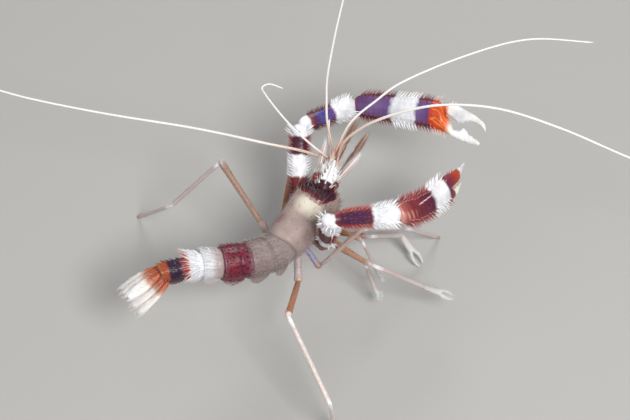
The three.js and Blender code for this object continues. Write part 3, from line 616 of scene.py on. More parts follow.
mouth = Casting()
mouth_skin = Skin([(x, body_spot(x, FRONT_MIDDLE, z), w, h) for x, w, h, z in MOUTH_RINGS], BODY_UP,
                  relief=lambda x, a: 0.16 * np.sin(a * 6) * np.sin((x - 10) * 1.2), shade=mouth_shade)
mouth_skin.cast(mouth, count=50, sides=48)
mouth_dice = random.Random(5)
for angle in range(200, 345, 12):
    for x in np.arange(10.8, 16.2, 0.42):
        spine(mouth, mouth_skin, x + mouth_dice.uniform(-0.15, 0.15), angle + mouth_dice.uniform(-5, 5),
              1, 1.6, mouth_dice.uniform(0.4, 0.8), 0.035, sides=4, along=mouth_shade(x))
mouth_paint = paint("mouth_shell", [(0, HORN), (0.5, (0.30, 0.20, 0.16)), (1, (0.50, 0.42, 0.38))],
                    spots=0.3, tips=WHITE, tip_amount=0.3, flesh=0.3)
piece("mouthparts_shell", mouth, mouth_paint, ["mouthparts"], "clear_shell")

# ------------------------------------------------------------------ antennule and antenna bases
# Short tubes of white shell in front of the eyes, each of three articles that widen to a rim.
# They carry the feelers; the antenna bases are stout and spiny.
ANTENNULE_ROOT = {side: (15.5, FRONT_MIDDLE + 0.6 + side * 0.75, 2.2) for side in (LEFT, RIGHT)}
ANTENNULE_END = {LEFT: (19.1, 0, 2), RIGHT: (20.2, -0.05, 3.5)}
ANTENNA_ROOT = {side: (14.2, FRONT_MIDDLE + 0.2 + side * 1.75, 0.6) for side in (LEFT, RIGHT)}
ANTENNA_END = {LEFT: (19.5, -0.4, 0.3), RIGHT: (19.1, -1.5, 2.4)}
# place along an article, and share of its thickness
ARTICLE = ((-0.03, 0.35), (0.0, 0.66), (0.07, 0.84), (0.4, 0.94), (0.78, 1.0), (0.92, 1.12), (0.97, 1.08),
           (1.0, 0.80), (1.02, 0.35))
# place along and length of the spines on the first article of an antenna, and on the other two
STOUT_SPINES = ((0.25, 0.8), (0.48, 0.9), (0.7, 1.0), (0.92, 1.15))
SLIGHT_SPINES = ((0.4, 0.55), (0.86, 0.6))


def upright(way):
    """The up of an article: the sky's, or the nose's way for an article that itself stands up."""
    return Vector((1, 0, 0)) if abs(way.normalized().z) > 0.9 else Vector((0, 0, 1))


def article(a, b, thick, deep=None, up=None, profile=ARTICLE, narrow=1.0, wrinkle=0.0, shade=None):
    """One shell tube of a limb from joint to joint; it widens towards its far rim."""
    deep, up = deep or thick, up or upright(b - a)
    length = (b - a).length
    swell = 0.012 * thick
    rings = [(t, a.lerp(b, t), thick / 2 * r * (1 + (narrow - 1) * t), deep / 2 * r * (1 + (narrow - 1) * t))
             for t, r in profile]

    def relief(t, angle):
        return (swell * np.sin(angle * 4 + t * 5) + wrinkle * np.sin(t * length * 7.5)
                - 0.03 * thick * hump(t, 0.955, 0.008))
    return Skin(rings, up, relief=relief, shade=shade)


def stalk_tubes(casting, start, end, knees, thicknesses, fineness):
    """Casts the three articles from a root to the foot of a feeler, one after another."""
    joints = [start, *(start.lerp(end, knee) for knee in knees), end + (end - start) * 0.02]
    for i, thick in enumerate(thicknesses):
        tube = article(joints[i], joints[i + 1], thick, up=BODY_UP, shade=lambda t, i=i: (i + t) / 3)
        tube.cast(casting, count=fineness, sides=fineness)
        yield i, tube


antennule_paint = paint(
    "antennule_shell",
    [(0, (0.50, 0.42, 0.38)), (0.3, WHITE), (0.6, (0.60, 0.46, 0.38)), (1, (0.42, 0.25, 0.19))],
    spots=0.25, spot_colour=(0.45, 0.12, 0.09), tips=WHITE, flesh=0.3)
antenna_paint = paint(
    "antenna_shell", [(0, (0.40, 0.20, 0.17)), (0.16, (0.60, 0.50, 0.47)), (0.26, WHITE), (0.5, WHITE),
                      (0.66, (0.60, 0.47, 0.39)), (1, (0.50, 0.36, 0.29))],
    spots=0.35, spot_colour=(0.42, 0.10, 0.08), tips=WHITE, flesh=0.25)
for label, side in SIDES:
    stalk = Casting()
    start, end = body_spot(*ANTENNULE_ROOT[side]), body_spot(*ANTENNULE_END[side])
    for i, tube in stalk_tubes(stalk, start, end, (0.5, 0.78), (1.15, 0.95, 0.85), 24):
        for angle in (35, 90, 145, 215, 325):
            spine(stalk, tube, 0.86, angle, 1, 1.5, 0.5, 0.08, curl=False, along=(i + 0.9) / 3)
    piece(f"antennule_base_{label}", stalk, antennule_paint, [f"antennule_{label}"], "clear_shell")

    stalk = Casting()
    start, end = body_spot(*ANTENNA_ROOT[side]), body_spot(*ANTENNA_END[side])
    for i, tube in stalk_tubes(stalk, start, end, (0.55, 0.8), (1.8, 1.15, 1.0), 28):
        for t, length in SLIGHT_SPINES if i else STOUT_SPINES:
            for angle in (-35, 10, 55, 100, 150, 200):
                spine(stalk, tube, t, angle if side == RIGHT else 180 - angle, 1, 1.1, length, 0.13,
                      along=(i + t) / 3)
    piece(f"antenna_base_{label}", stalk, antenna_paint, [f"antenna_{label}"], "white_shell")

# ------------------------------------------------------------------ antennal scales
# A long thin leaf of clear shell outside each antenna base, with a toothed outer edge,
# a rib down its middle and a beard of bristles on its inner edge.
SCALE_ROOT, SCALE_LENGTH = (17.0, 1.95, 0.8), 6.2                # forward, outward, up
SCALE_RINGS = ((-0.2, 0.20, 0.20), (-0.08, 0.42, 0.24), (0.13, 0.60, 0.22), (0.45, 0.66, 0.18),
               (0.8, 0.44, 0.14), (0.94, 0.24, 0.10), (1.0, 0.06, 0.05))


def scale_relief(t, angle):
    """A raised rib above and below, and fine veins beside it."""
    return 0.09 * hump(np.cos(angle), 0, 0.16) * (abs(t - 0.4) < 0.6) - 0.04 * np.cos(angle * 6) ** 2


scale_paint = paint(
    "scale_leaf", [(0, (0.50, 0.38, 0.33)), (0.5, (0.58, 0.49, 0.46)), (1, (0.78, 0.73, 0.72))],
    layers=(("rib", [(0.3, 0), (0.9, 0.9)], WHITE),), spots=0.15, spot_colour=(0.40, 0.16, 0.12), flesh=0.3,
    tips=WHITE, clear=("rib", [(0.0, 0.62), (0.8, 1.0)]))
scale_dice = random.Random(21)
for label, side in SIDES:
    leaf = Casting("rib")
    leaf_root = body_spot(SCALE_ROOT[0], FRONT_MIDDLE + 0.2 + side * SCALE_ROOT[1], SCALE_ROOT[2])
    way = body_way(0.92, side * 0.24, 0.3).normalized()
    leaf_skin = Skin([(t, leaf_root + way * (SCALE_LENGTH * t), w, h) for t, w, h in SCALE_RINGS],
                     BODY_UP, relief=scale_relief)
    leaf_skin.cast(leaf, count=60, sides=48, rib=lambda t, a: hump(np.cos(a), 0, 0.14) + 0 * t)
    outer, inner = (180, 0) if side == LEFT else (0, 180)
    for t in (0.3, 0.42, 0.54, 0.66, 0.78, 0.9):
        spine(leaf, leaf_skin, t, outer, 0.5, 1, 0.55, 0.1, curl=False, along=t)
    for t in np.arange(0.05, 0.99, 0.018):
        spine(leaf, leaf_skin, t, inner + scale_dice.uniform(-12, 12), 1, 0.9, scale_dice.uniform(0.5, 0.8),
              0.03, sides=4, along=t)
    piece(f"scale_leaf_{label}", leaf, scale_paint, [f"scale_{label}"], "clear_shell")

# ------------------------------------------------------------------ feelers
# Six long whips of very short white articles, thick as a bristle at the root and finer to the tip:
# an antenna on each side and two thin feelers on each antennule.
FEELER_BASE, THIN_FEELER, FEELER_TIP = 0.60, 0.50, 0.27          # thicknesses
FEELER_RINGING = 0.85                                            # length of one article
# where it starts, its thickness, and steps of (length, yaw, pitch)
FEELERS = {
    "antenna_flagellum_left": (body_spot(*ANTENNA_END[LEFT]), FEELER_BASE, (
        (4, 107, 26), (9, 116, 18), (12.1, 106, 4), (18.1, 111.5, 7), (13.5, 111, 10), (14, 107, 11),
        (18, 111, 4))),
    "antenna_flagellum_right": (body_spot(*ANTENNA_END[RIGHT]), FEELER_BASE, (
        (3.4, 5, 40), (4.4, -42, 42), (4, -60, 38), (6.8, -65, 30), (6, -68, 20), (9.5, -73, 7),
        (11, -77, -9), (14, -77, -18), (16, -76, -16), (14, -74, -8))),
    "antennule_outer_left": (body_spot(*ANTENNULE_END[LEFT]), THIN_FEELER, (
        (4.6, 94, 33), (5.7, 91, 39), (6.5, 82, 42), (1.5, 70, 50), (1.5, -24, -4), (2.8, -63, -25))),
    "antennule_outer_right": (body_spot(*ANTENNULE_END[RIGHT]), THIN_FEELER, (
        (5.4, 43, 34), (4, 30, 35), (3.5, 26, 50), (6.5, 13, 52), (8.5, 7, 54), (12, 5, 50), (14, 6, 44))),
    "antennule_inner_right": (body_spot(*ANTENNULE_END[RIGHT]) + body_way(0, -1, -0.3) * 0.35, THIN_FEELER, (
        (6, -4, 28), (6.4, -27, 22), (4.5, -31, 20), (13.8, -43, 13), (11.2, -50, 8), (11.8, -64, -1.5))),
    "antennule_inner_left": (body_spot(*ANTENNULE_END[LEFT]) + body_way(0, 0.2, -1) * 0.3, THIN_FEELER, (
        (4, 28, 6), (5, 27, -4), (5, 22, 2)))}


def heading(yaw, pitch):
    """A direction in degrees: yaw turns from ahead to the left, and pitch climbs."""
    yaw, pitch = math.radians(yaw), math.radians(pitch)
    return Vector((math.cos(yaw) * math.cos(pitch), math.sin(yaw) * math.cos(pitch), math.sin(pitch)))


def chain(start, steps):
    """Joints of a limb: from a start, steps of (length, yaw, pitch)."""
    joints = [start]
    for length, yaw, pitch in steps:
        joints.append(joints[-1] + heading(yaw, pitch) * length)
    return joints


def flowing(knots, spacing):
    """Evenly spaced points on one smooth curve through the knots, and how far along each is."""
    p = np.array([list(k) for k in knots])
    p = np.vstack([2 * p[0] - p[1], p, 2 * p[-1] - p[-2]])
    gaps = np.sqrt(np.linalg.norm(np.diff(p, axis=0), axis=1))
    u = np.linspace(0, 1, 60)[:, None]
    line = []
    for i in range(1, len(p) - 2):
        a, b, c = gaps[i - 1], gaps[i], gaps[i + 1]
        leave = b * ((p[i] - p[i - 1]) / a - (p[i + 1] - p[i - 1]) / (a + b) + (p[i + 1] - p[i]) / b)
        arrive = b * ((p[i + 1] - p[i]) / b - (p[i + 2] - p[i]) / (b + c) + (p[i + 2] - p[i + 1]) / c)
        line.append((2 * u ** 3 - 3 * u ** 2 + 1) * p[i] + (u ** 3 - 2 * u ** 2 + u) * leave
                    + (3 * u ** 2 - 2 * u ** 3) * p[i + 1] + (u ** 3 - u ** 2) * arrive)
    line = np.vstack(line)
    travel = np.concatenate([[0], np.cumsum(np.linalg.norm(np.diff(line, axis=0), axis=1))])
    at = np.linspace(0, travel[-1], int(travel[-1] / spacing) + 2)
    return np.stack([np.interp(at, travel, line[:, k]) for k in range(3)], axis=1), at


def whip(casting, points, radii, sides=8):
    """A round tapering rod along a row of points."""
    ahead = np.gradient(points, axis=0)
    ahead /= np.linalg.norm(ahead, axis=1)[:, None]
    side = np.cross(ahead[0], [0.3, 0.5, 0.81])
    ring = np.linspace(0, math.tau, sides, endpoint=False)
    rows = []
    for middle, way, radius in zip(points, ahead, radii):
        side = side - way * np.dot(side, way)
        side /= np.linalg.norm(side)
        round_it = np.cos(ring)[:, None] * side + np.sin(ring)[:, None] * np.cross(way, side)
        rows.append(middle + radius * round_it)
    casting.add(np.vstack(rows), rod_faces(len(points), sides),
                along=np.repeat(np.linspace(0, 1, len(points)), sides))


feeler_paint = paint(
    "feeler_whip", [(0, (0.36, 0.18, 0.13)), (0.06, (0.58, 0.42, 0.34)), (0.16, (0.80, 0.74, 0.70)),
                    (0.4, (0.84, 0.83, 0.82)), (1, (0.84, 0.84, 0.85))],
    ragged=0.01, spots=0.0, cloud=0.15, grain=1500, bump=0.15, flesh=0.3, coat=0.2)
for name, (start, thickness, steps) in FEELERS.items():
    knots = chain(start, steps)
    knots[0] = start - heading(*steps[0][1:]) * 0.5
    line, travel = flowing(knots, FEELER_RINGING / 4)
    taper = thickness + (FEELER_TIP - thickness) * (travel / travel[-1]) ** 0.7
    taper[-3:] *= (0.8, 0.6, 0.35)
    ringing = 1 + 0.06 * np.cos(travel / FEELER_RINGING * math.tau)
    feeler = Casting()
    whip(feeler, line, taper / 2 * ringing)
    piece(f"{name}_whip", feeler, feeler_paint, [name], "feeler")

# ------------------------------------------------------------------ tail rings
# Six overlapping hoops of shell, clear in front, then red spotted violet, two white, and red and navy.
# Each has a pointed plate hanging on either side and rows of small spines leaning back, and all but
# the last carry a pair of leaf-shaped swimming feet.
# the first is the white shell under spines, painted bluish grey as shade between the spines, under their
# paler points
WHITE_WITH_PAINTED_SHADE, ORANGE = (0.76, 0.76, 0.785), (0.36, 0.105, 0.032)
# length, yaw, pitch, half width, half height, slot,
# and its spines: length, base, lean outward, degrees between them
TAIL_RINGS = ((3.0, -26, -3, 3.4, 3.5, "clear_shell", (0.65, 0.10, 0.8, 15)),
              (4.0, -39, -9, 3.4, 3.4, "clear_shell", (0.65, 0.10, 0.8, 15)),
              (4.5, -46, -12, 3.15, 3.15, "red_shell", (0.6, 0.10, 0.8, 15)),
              (3.5, -48, -12, 2.7, 2.7, "white_shell", (0.9, 0.12, 0.8, 12)),
              (3.0, -48, -8, 2.25, 2.25, "white_shell", (1.5, 0.12, 1.1, 10)),
              (4.2, -46, 2, 1.8, 1.85, "red_shell", (0.7, 0.12, 0.8, 15)))
FAN_HEADING = (-28, 17)
TAIL_ROLL = 8
CLEAR_TAIL = (0.31, 0.245, 0.225)
CLEAR_SPOTS = {"spots": 0.3, "spot_colour": (0.40, 0.33, 0.30)}
CLEAR_PLATE, PALE_PLATE = (0.38, 0.30, 0.275), (0.62, 0.54, 0.52)
# stops from front to rear, colour of the hanging plates, how solid the hoop is, and the rest of its paint
TAIL_PAINT = (
    ([(0, SMOKE), (1, CLEAR_TAIL)], CLEAR_PLATE, 0.45, CLEAR_SPOTS),
    ([(0, CLEAR_TAIL), (0.8, (0.29, 0.21, 0.20)), (1, (0.25, 0.09, 0.10))], CLEAR_PLATE, 0.5, CLEAR_SPOTS),
    ([(0, (0.19, 0.065, 0.08)), (0.16, (0.155, 0.011, 0.028)), (0.82, (0.18, 0.010, 0.020)),
      (1, (0.17, 0.05, 0.065))], PALE_PLATE, 1,
     {"spots": 2.6, "spot_colour": (0.014, 0.003, 0.022), "spot_fineness": 1700, "cloud": 0.8,
      "cloud_fineness": 500, "tips": (0.10, 0.02, 0.08)}),
    # the white hoops are painted bluish grey under their spines: painted shade between the spines
    ([(0, (0.28, 0.13, 0.14)), (0.16, (0.44, 0.35, 0.34)), (0.5, (0.60, 0.53, 0.52)), (0.66, WHITE_WITH_PAINTED_SHADE),
      (1, WHITE_WITH_PAINTED_SHADE)], PALE_PLATE, 0.8, {"spots": 0.2, "spot_colour": (0.4, 0.15, 0.15)}),
    ([(0, WHITE_WITH_PAINTED_SHADE), (0.78, WHITE_WITH_PAINTED_SHADE), (0.86, (0.60, 0.10, 0.035)), (1, (0.36, 0.04, 0.028))],
     PALE_PLATE, 1, {"spots": 0.06}),
    ([(0, (0.38, 0.07, 0.04)), (0.12, (0.24, 0.030, 0.045)), (0.22, (0.022, 0.008, 0.030)),
      (0.66, (0.016, 0.006, 0.026)), (0.78, (0.40, 0.070, 0.025)), (1, ORANGE)],
     ORANGE, 1, {"spots": 0.35, "tips": (0.20, 0.06, 0.06)}))
# place down a hanging plate, half length as a share of the hoop's, half thickness
PLATE_RINGS = ((-0.25, 0.30, 0.30), (0.1, 0.44, 0.34), (0.5, 0.43, 0.26), (0.8, 0.34, 0.18),
               (1.0, 0.19, 0.12), (1.12, 0.05, 0.05))
# the stalk and the two leaves of a swimming foot: splay, reach, half width, start as a share of its length
FOOT_BLADES = ((0, 0.45, 0.34, 0.0), (0.16, 1.0, 0.46, 0.3), (-0.12, 0.94, 0.40, 0.3))
tail_dice = random.Random(8)


def rolled_up(way, roll):
    """The up of an article that lies along a way, turned about it by its roll."""
    side = way.cross(Vector((0, 0, 1))).normalized()
    return Matrix.Rotation(math.radians(roll), 3, way) @ side.cross(way)


def hoop_relief(t, angle):
    """Two creases across the hoop and low ribs behind the first, all above the plates."""
    crease = -0.10 * hump(t, 0.36, 0.022) - 0.06 * hump(t, 0.93, 0.015)
    ribs = 0.035 * np.sin(angle * 9) * hump(t, 0.65, 0.22)
    return (crease + ribs) * (np.sin(angle) > -0.5)


joint, before = body_spot(0, 0, -0.1), body_way(1, 0, 0)
core_place = 0.0
core_rings = [(-0.6, joint + before * 0.6, 2.8, 2.9)]
for number, (length, yaw, pitch, wide, high, slot, spines) in enumerate(TAIL_RINGS, 1):
    stops, plate_colour, solid, finish = TAIL_PAINT[number - 1]
    spine_length, spine_base, spine_lean, spine_gap = spines
    way = heading(yaw, pitch)
    after = heading(*(TAIL_RINGS[number][1:3] if number < 6 else FAN_HEADING))
    up = rolled_up(way, TAIL_ROLL)
    left = up.cross(way).normalized()
    turn_in, turn_out = (way + before).normalized(), (way + after).normalized()
    hoop = Casting("plate")
    # place along the hoop, size, direction of the ring
    rows = ((-0.22, 0.78, turn_in), (-0.12, 0.92, turn_in), (0.0, 0.96, turn_in), (0.12, 0.98, way),
            (0.3, 1.0, way), (0.7, 0.995, way), (0.92, 0.985, turn_out), (1.02, 0.975, turn_out),
            (1.05, 0.93, turn_out), (1.06, 0.83, turn_out), (1.065, 0.4, turn_out))
    hoop_skin = Skin([(t, joint - way * (length * t), wide * size, high * size) for t, size, _ in rows], up,
                     relief=hoop_relief, shade=lambda t: np.clip(t, 0, 1),
                     aheads=[-ring_way for _, _, ring_way in rows])
    hoop_skin.cast(hoop, count=50, sides=84)
    for t in (0.2, 0.8):
        core_rings.append((core_place + length * t, joint - way * (length * t), wide * 0.86, high * 0.86))
    core_place += length
    # angle 90 is the back; the skin's right side is the animal's left because it runs backwards
    for t, size in ((0.26, 0.6), (0.44, 0.75), (0.62, 1.0), (0.78, 1.0), (0.94, 0.9)):
        for angle in range(14, 170, spine_gap):
            spine(hoop, hoop_skin, t + tail_dice.uniform(-0.04, 0.04), angle + tail_dice.uniform(-5, 5),
                  spine_lean, 0.9, size * spine_length * tail_dice.uniform(0.8, 1.2), spine_base, along=t)
    for side in (LEFT, RIGHT):
        plate_top = joint - way * (length * 0.52) + left * (side * wide * 0.84)
        drop = (left * (side * 0.12) - up).normalized()
        plate_skin = Skin([(t, plate_top + drop * (high * 0.9 * t) - way * (length * 0.10 * max(t, 0)),
                            length * w, thick) for t, w, thick in PLATE_RINGS],
                          left, shade=lambda t: 0.55 + 0 * t,
                          relief=lambda t, a: 0.05 * hump(abs(np.cos(a)), 0.75, 0.08))
        plate_skin.cast(hoop, count=30, sides=32, plate=lambda t, a: np.clip(t, 0, 1) + 0 * a)
        for t in (0.55, 0.75, 0.95):
            for angle in (0, 180):
                spine(hoop, plate_skin, t, angle, 0.5, 1, 0.4, 0.08, curl=False, along=0.6, plate=t)
        if number == 6:
            continue
        foot_root = joint - way * (length * 0.55) + left * (side * wide * 0.42) - up * (high * 0.8)
        foot_way = (way * 1.3 - up + left * (side * 0.1)).normalized()
        foot_length = 2.7 - 0.2 * (number - 1)
        for splay, reach, half, share in FOOT_BLADES:
            blade_way = (foot_way + left * (side * splay) - up * abs(splay)).normalized()
            thin = 0.12 if share else 0.30
            blade_rows = ((share - 0.25, 0.5), (share + 0.1, 0.85), ((share + reach) / 2, 1.0),
                          (reach * 0.9, 0.7), (reach, 0.15))
            blade_rings = [(t, foot_root + blade_way * (foot_length * t), half * w, thin * (0.5 + 0.5 * w))
                           for t, w in blade_rows]
            blade_skin = Skin(blade_rings, left, shade=lambda t: 0.5 + 0 * t)
            blade_skin.cast(hoop, count=20, sides=24, plate=1.0)
            for t in np.arange(0.45, 0.97, 0.045) if share else ():
                for angle in (0, 180):
                    spine(hoop, blade_skin, t, angle + tail_dice.uniform(-15, 15), 0.7, 1, 0.42, 0.028,
                          curl=False, sides=4, along=0.5, plate=1.0)
    tail_paint = paint(f"tail_shell_{number}", stops, ragged=0.08,
                       layers=(("plate", [(0.45, 0), (0.95, 0.75)], plate_colour),),
                       clear=("plate", [(0, solid), (0.6, 0.75)]), **{"tips": WHITE, **finish})
    piece(f"tail_ring_{number}", hoop, tail_paint, [f"abdomen_{number}"], slot)
    joint, before = joint - way * length, way

# ------------------------------------------------------------------ tail muscle
# One long bundle of pale muscle runs through the six hoops, just inside their shell,
# and shows through the clear ones.
core = Casting()
core_skin = Skin(core_rings, (0, 0, 1), shade=lambda t: t / core_place,
                 relief=lambda t, a: 0.05 * np.sin(t * 4.2) * np.sin(a * 3))
core_skin.cast(core, count=80, sides=48)
muscle_paint = paint(
    "tail_muscle", [(0, (0.37, 0.29, 0.27)), (0.3, (0.35, 0.27, 0.25)), (0.45, (0.34, 0.20, 0.20)),
                    (0.7, (0.62, 0.55, 0.53)), (1, (0.50, 0.30, 0.25))],
    ragged=0.05, spots=0.3, spot_colour=(0.52, 0.42, 0.38), cloud=0.6, flesh=0.3)
piece("tail_muscle", core, muscle_paint, [f"abdomen_{number}" for number in range(1, 7)], "clear_shell")

# ------------------------------------------------------------------ tail fan
# A narrow middle plate with two spiny ridges, and two thin rounded leaves on each side.
# The plates are orange at the root and white beyond, and every leaf is fringed with bristles.
TELSON_LENGTH, UROPOD_LENGTH, LEAF_THICKNESS = 7.8, 8.3, 0.62
FRINGE = 0.9                                 # length of the bristles
# place along, width and thickness as shares
LEAF_RINGS = ((0.0, 0.36, 1.0), (0.05, 0.55, 1.05), (0.12, 0.72, 1.1), (0.3, 0.93, 1.05), (0.5, 1.0, 0.9),
              (0.72, 0.93, 0.7), (0.86, 0.74, 0.5), (0.95, 0.48, 0.36), (0.99, 0.24, 0.25), (1.0, 0.08, 0.12))
fan_way = heading(*FAN_HEADING)
fan_side = Vector((0, 0, 1)).cross(fan_way).normalized()
fan_up = fan_way.cross(fan_side).normalized()
fan_root = joint
fan_dice = random.Random(31)
fan_paint = paint(
    "fan_leaf", [(0, (0.33, 0.050, 0.020)), (0.22, (0.36, 0.080, 0.034)), (0.33, (0.50, 0.26, 0.16)),
                 (0.42, (0.72, 0.66, 0.62)), (0.9, (0.74, 0.70, 0.68)), (1, (0.58, 0.50, 0.46))],
    layers=(("ridge", [(0.3, 0), (0.9, 0.8)], (0.60, 0.26, 0.12)),),
    ragged=0.10, spots=0.3, spot_colour=(0.20, 0.03, 0.02), cloud=0.6, tips=WHITE, flesh=0.2)
telson_paint = paint(
    "telson_shell", [(0, (0.36, 0.05, 0.022)), (0.28, (0.42, 0.10, 0.040)), (0.38, (0.60, 0.32, 0.20)),
                     (0.47, (0.82, 0.77, 0.73)), (1, WHITE)],
    layers=(("ridge", [(0.3, 0), (0.9, 0.8)], (0.62, 0.27, 0.12)),),
    ragged=0.10, spots=0.4, spot_colour=(0.10, 0.01, 0.02), tips=WHITE, tip_amount=0.6)


def fan_plate(root, yaw, droop, length, width, thick, ridges, toothed=None):
    """One plate of the fan with its ridges, the teeth of its outer edge and its fringe of bristles."""
    casting = Casting("ridge")
    way = ((Matrix.Rotation(math.radians(yaw), 3, fan_up) @ -fan_way) - fan_up * droop).normalized()
    shell_length = length - FRINGE * 0.7

    def ridge_lines(t, angle):
        across = np.cos(angle) * (1 - 0.45 * t)
        lines = sum(hump(across, ridge, 0.09) for ridge in ridges)
        return lines * (np.sin(angle) > 0) * np.clip(1.25 - 1.6 * t, 0, 1)

    def plate_relief(t, angle):
        veins = np.sin(np.cos(angle) * 30) * (abs(np.sin(angle)) > 0.2)
        return 0.15 * ridge_lines(t, angle) + 0.02 * veins

    rings = [(t, root + way * (shell_length * t), width / 2 * w, thick / 2 * h) for t, w, h in LEAF_RINGS]
    skin = Skin(rings, fan_up, relief=plate_relief)
    skin.cast(casting, count=70, sides=64, ridge=ridge_lines)
    for t in np.arange(0.24, 0.995, 0.0095):
        for angle in (0, 180):
            on_toothed = angle == toothed and t < 0.8
            if on_toothed and fan_dice.random() > 0.16:
                continue
            turn = angle + fan_dice.uniform(-9, 9)
            if on_toothed:
                spine(casting, skin, t, turn, 0.6, 1, 0.45, 0.10, curl=False, along=t)
            else:
                spine(casting, skin, t, turn, 0.8 - 0.7 * t, 0.6 + t, FRINGE * fan_dice.uniform(0.7, 1.05),
                      0.032, sides=4, along=t)
    return casting, skin


telson, telson_skin = fan_plate(fan_root + fan_up * 0.35, 0, 0, TELSON_LENGTH, 2.2, 1.1, (-0.45, 0.45))
for t in (0.18, 0.30, 0.42, 0.54, 0.66, 0.8):
    for angle in (65, 115):
        spine(telson, telson_skin, t, angle, 1, 1.1, 0.75 - 0.3 * t, 0.12, along=t)
piece("telson_plate", telson, telson_paint, ["telson"], "red_shell")
for label, side in SIDES:
    root = fan_root + fan_side * (side * 1.05) - fan_up * 0.25
    inner = fan_plate(root, -side * 4, 0.02, UROPOD_LENGTH, 1.75, LEAF_THICKNESS, (0.0, 0.5))[0]
    piece(f"inner_fan_leaf_{label}", inner, fan_paint, [f"uropod_inner_{label}"], "white_shell")
    outer = fan_plate(root + fan_side * (side * 0.7) - fan_up * 0.35, -side * 9, 0.07, UROPOD_LENGTH, 1.9,
                      LEAF_THICKNESS, (-0.4, 0.4), toothed=0 if side == LEFT else 180)[0]
    piece(f"outer_fan_leaf_{label}", outer, fan_paint, [f"uropod_outer_{label}"], "white_shell")

# ------------------------------------------------------------------ great claws
# The third legs: an arm of two articles, a wrist, a deep flat palm with its fixed finger, and the
# finger that closes on it. Hard shell banded red, violet and white, with combs of spines on its edges.
ARM_THICKNESS, ARM_DEPTH = 2.2, 1.4          # its depth is a share of its thickness
CUFF_HALF_WIDTH, CUFF_HALF_DEPTH = 1.15, 1.6
CUFF_RINGS = ((-0.02, 0.28), (0, 0.55), (0.04, 0.72), (0.1, 0.85), (0.35, 0.93), (0.6, 0.99), (0.8, 1.16),
              (0.88, 1.2), (0.95, 1.0), (1.0, 0.72), (1.02, 0.4))
# each hand across its flat: place from the wrist, lower edge, upper edge, half width
HANDS = {
    "left": {
        "palm": ((-0.25, -0.45, 0.55, 0.35), (0.0, -0.95, 1.15, 0.75), (0.5, -1.40, 1.70, 1.05),
                 (1.6, -1.85, 2.20, 1.35), (3.5, -2.00, 2.55, 1.55), (6.6, -1.98, 2.82, 1.64),
                 (10.3, -1.85, 3.00, 1.68), (13.8, -1.90, 3.14, 1.66), (15.6, -1.95, 3.10, 1.56),
                 (16.8, -2.02, 2.75, 1.42), (17.4, -2.10, 2.05, 1.30), (17.8, -2.25, 0.90, 1.12)),
        "fixed": ((18.4, -2.45, 0.35, 0.95), (19.0, -2.68, -0.15, 0.84), (19.35, -2.80, -0.95, 0.74),
                  (19.7, -2.92, -1.60, 0.66), (20.4, -3.12, -1.75, 0.62), (21.0, -3.27, -1.66, 0.60),
                  (21.4, -3.36, -1.35, 0.58), (21.8, -3.44, -1.12, 0.52), (22.2, -3.52, -1.42, 0.50),
                  (22.7, -3.60, -1.98, 0.46), (23.3, -3.70, -2.36, 0.40), (24.2, -3.80, -2.78, 0.32),
                  (24.8, -3.80, -3.08, 0.20), (25.1, -3.60, -3.22, 0.12), (25.2, -3.48, -3.36, 0.05)),
        "moving": ((16.4, 0.90, 2.30, 0.60), (17.0, 0.92, 2.75, 0.85), (17.9, 0.90, 3.00, 0.98),
                   (18.9, 0.45, 3.07, 1.00), (19.7, 0.02, 2.86, 0.95), (20.5, -0.33, 2.56, 0.88),
                   (21.0, -0.26, 2.36, 0.80), (21.5, -0.07, 2.17, 0.74), (22.1, 0.14, 1.96, 0.66),
                   (22.8, 0.27, 1.72, 0.58), (23.5, 0.17, 1.44, 0.50), (24.2, 0.00, 1.05, 0.42),
                   (24.9, -0.30, 0.62, 0.34), (25.4, -0.72, 0.20, 0.24), (25.7, -1.06, -0.36, 0.15),
                   (25.82, -1.26, -1.00, 0.06))},
    "right": {
        "palm": ((-0.3, -0.80, 0.55, 0.45), (0.0, -1.50, 1.10, 0.90), (0.5, -2.00, 1.60, 1.20),
                 (1.56, -2.50, 2.00, 1.42), (2.83, -2.79, 1.97, 1.55), (4.87, -2.83, 1.89, 1.62),
                 (7.39, -2.81, 1.82, 1.65), (8.9, -2.66, 1.85, 1.65), (10.49, -2.47, 2.08, 1.60),
                 (11.73, -2.30, 2.32, 1.54), (13.2, -2.06, 2.50, 1.40), (14.0, -1.94, 2.05, 1.25),
                 (14.5, -1.86, 0.90, 1.05)),
        "fixed": ((15.0, -1.70, -0.10, 0.85), (15.8, -1.42, -0.12, 0.70), (16.6, -1.05, 0.08, 0.52),
                  (17.4, -0.50, 0.22, 0.36), (18.0, -0.05, 0.28, 0.20), (18.27, 0.16, 0.27, 0.06)),
        "moving": ((13.4, 0.10, 2.10, 0.60), (14.2, -0.10, 2.60, 0.90), (15.2, 0.00, 2.68, 0.96),
                   (15.8, 0.18, 2.62, 0.94), (16.41, 0.36, 2.66, 0.90), (17.2, 0.55, 2.74, 0.84),
                   (17.8, 0.80, 2.80, 0.74), (18.4, 1.43, 2.88, 0.62), (19.2, 2.00, 3.00, 0.48),
                   (19.8, 2.38, 3.10, 0.36), (20.4, 2.76, 3.20, 0.22), (20.8, 3.05, 3.28, 0.10),
                   (20.9, 3.18, 3.26, 0.04))}}
RED, VIOLET, BLUE = (0.26, 0.020, 0.022), (0.110, 0.040, 0.155), (0.050, 0.048, 0.230)
SCARLET, IVORY = (0.52, 0.034, 0.006), (0.74, 0.70, 0.66)
CLAW_PARTS = ("arm", "wrist", "palm", "finger")
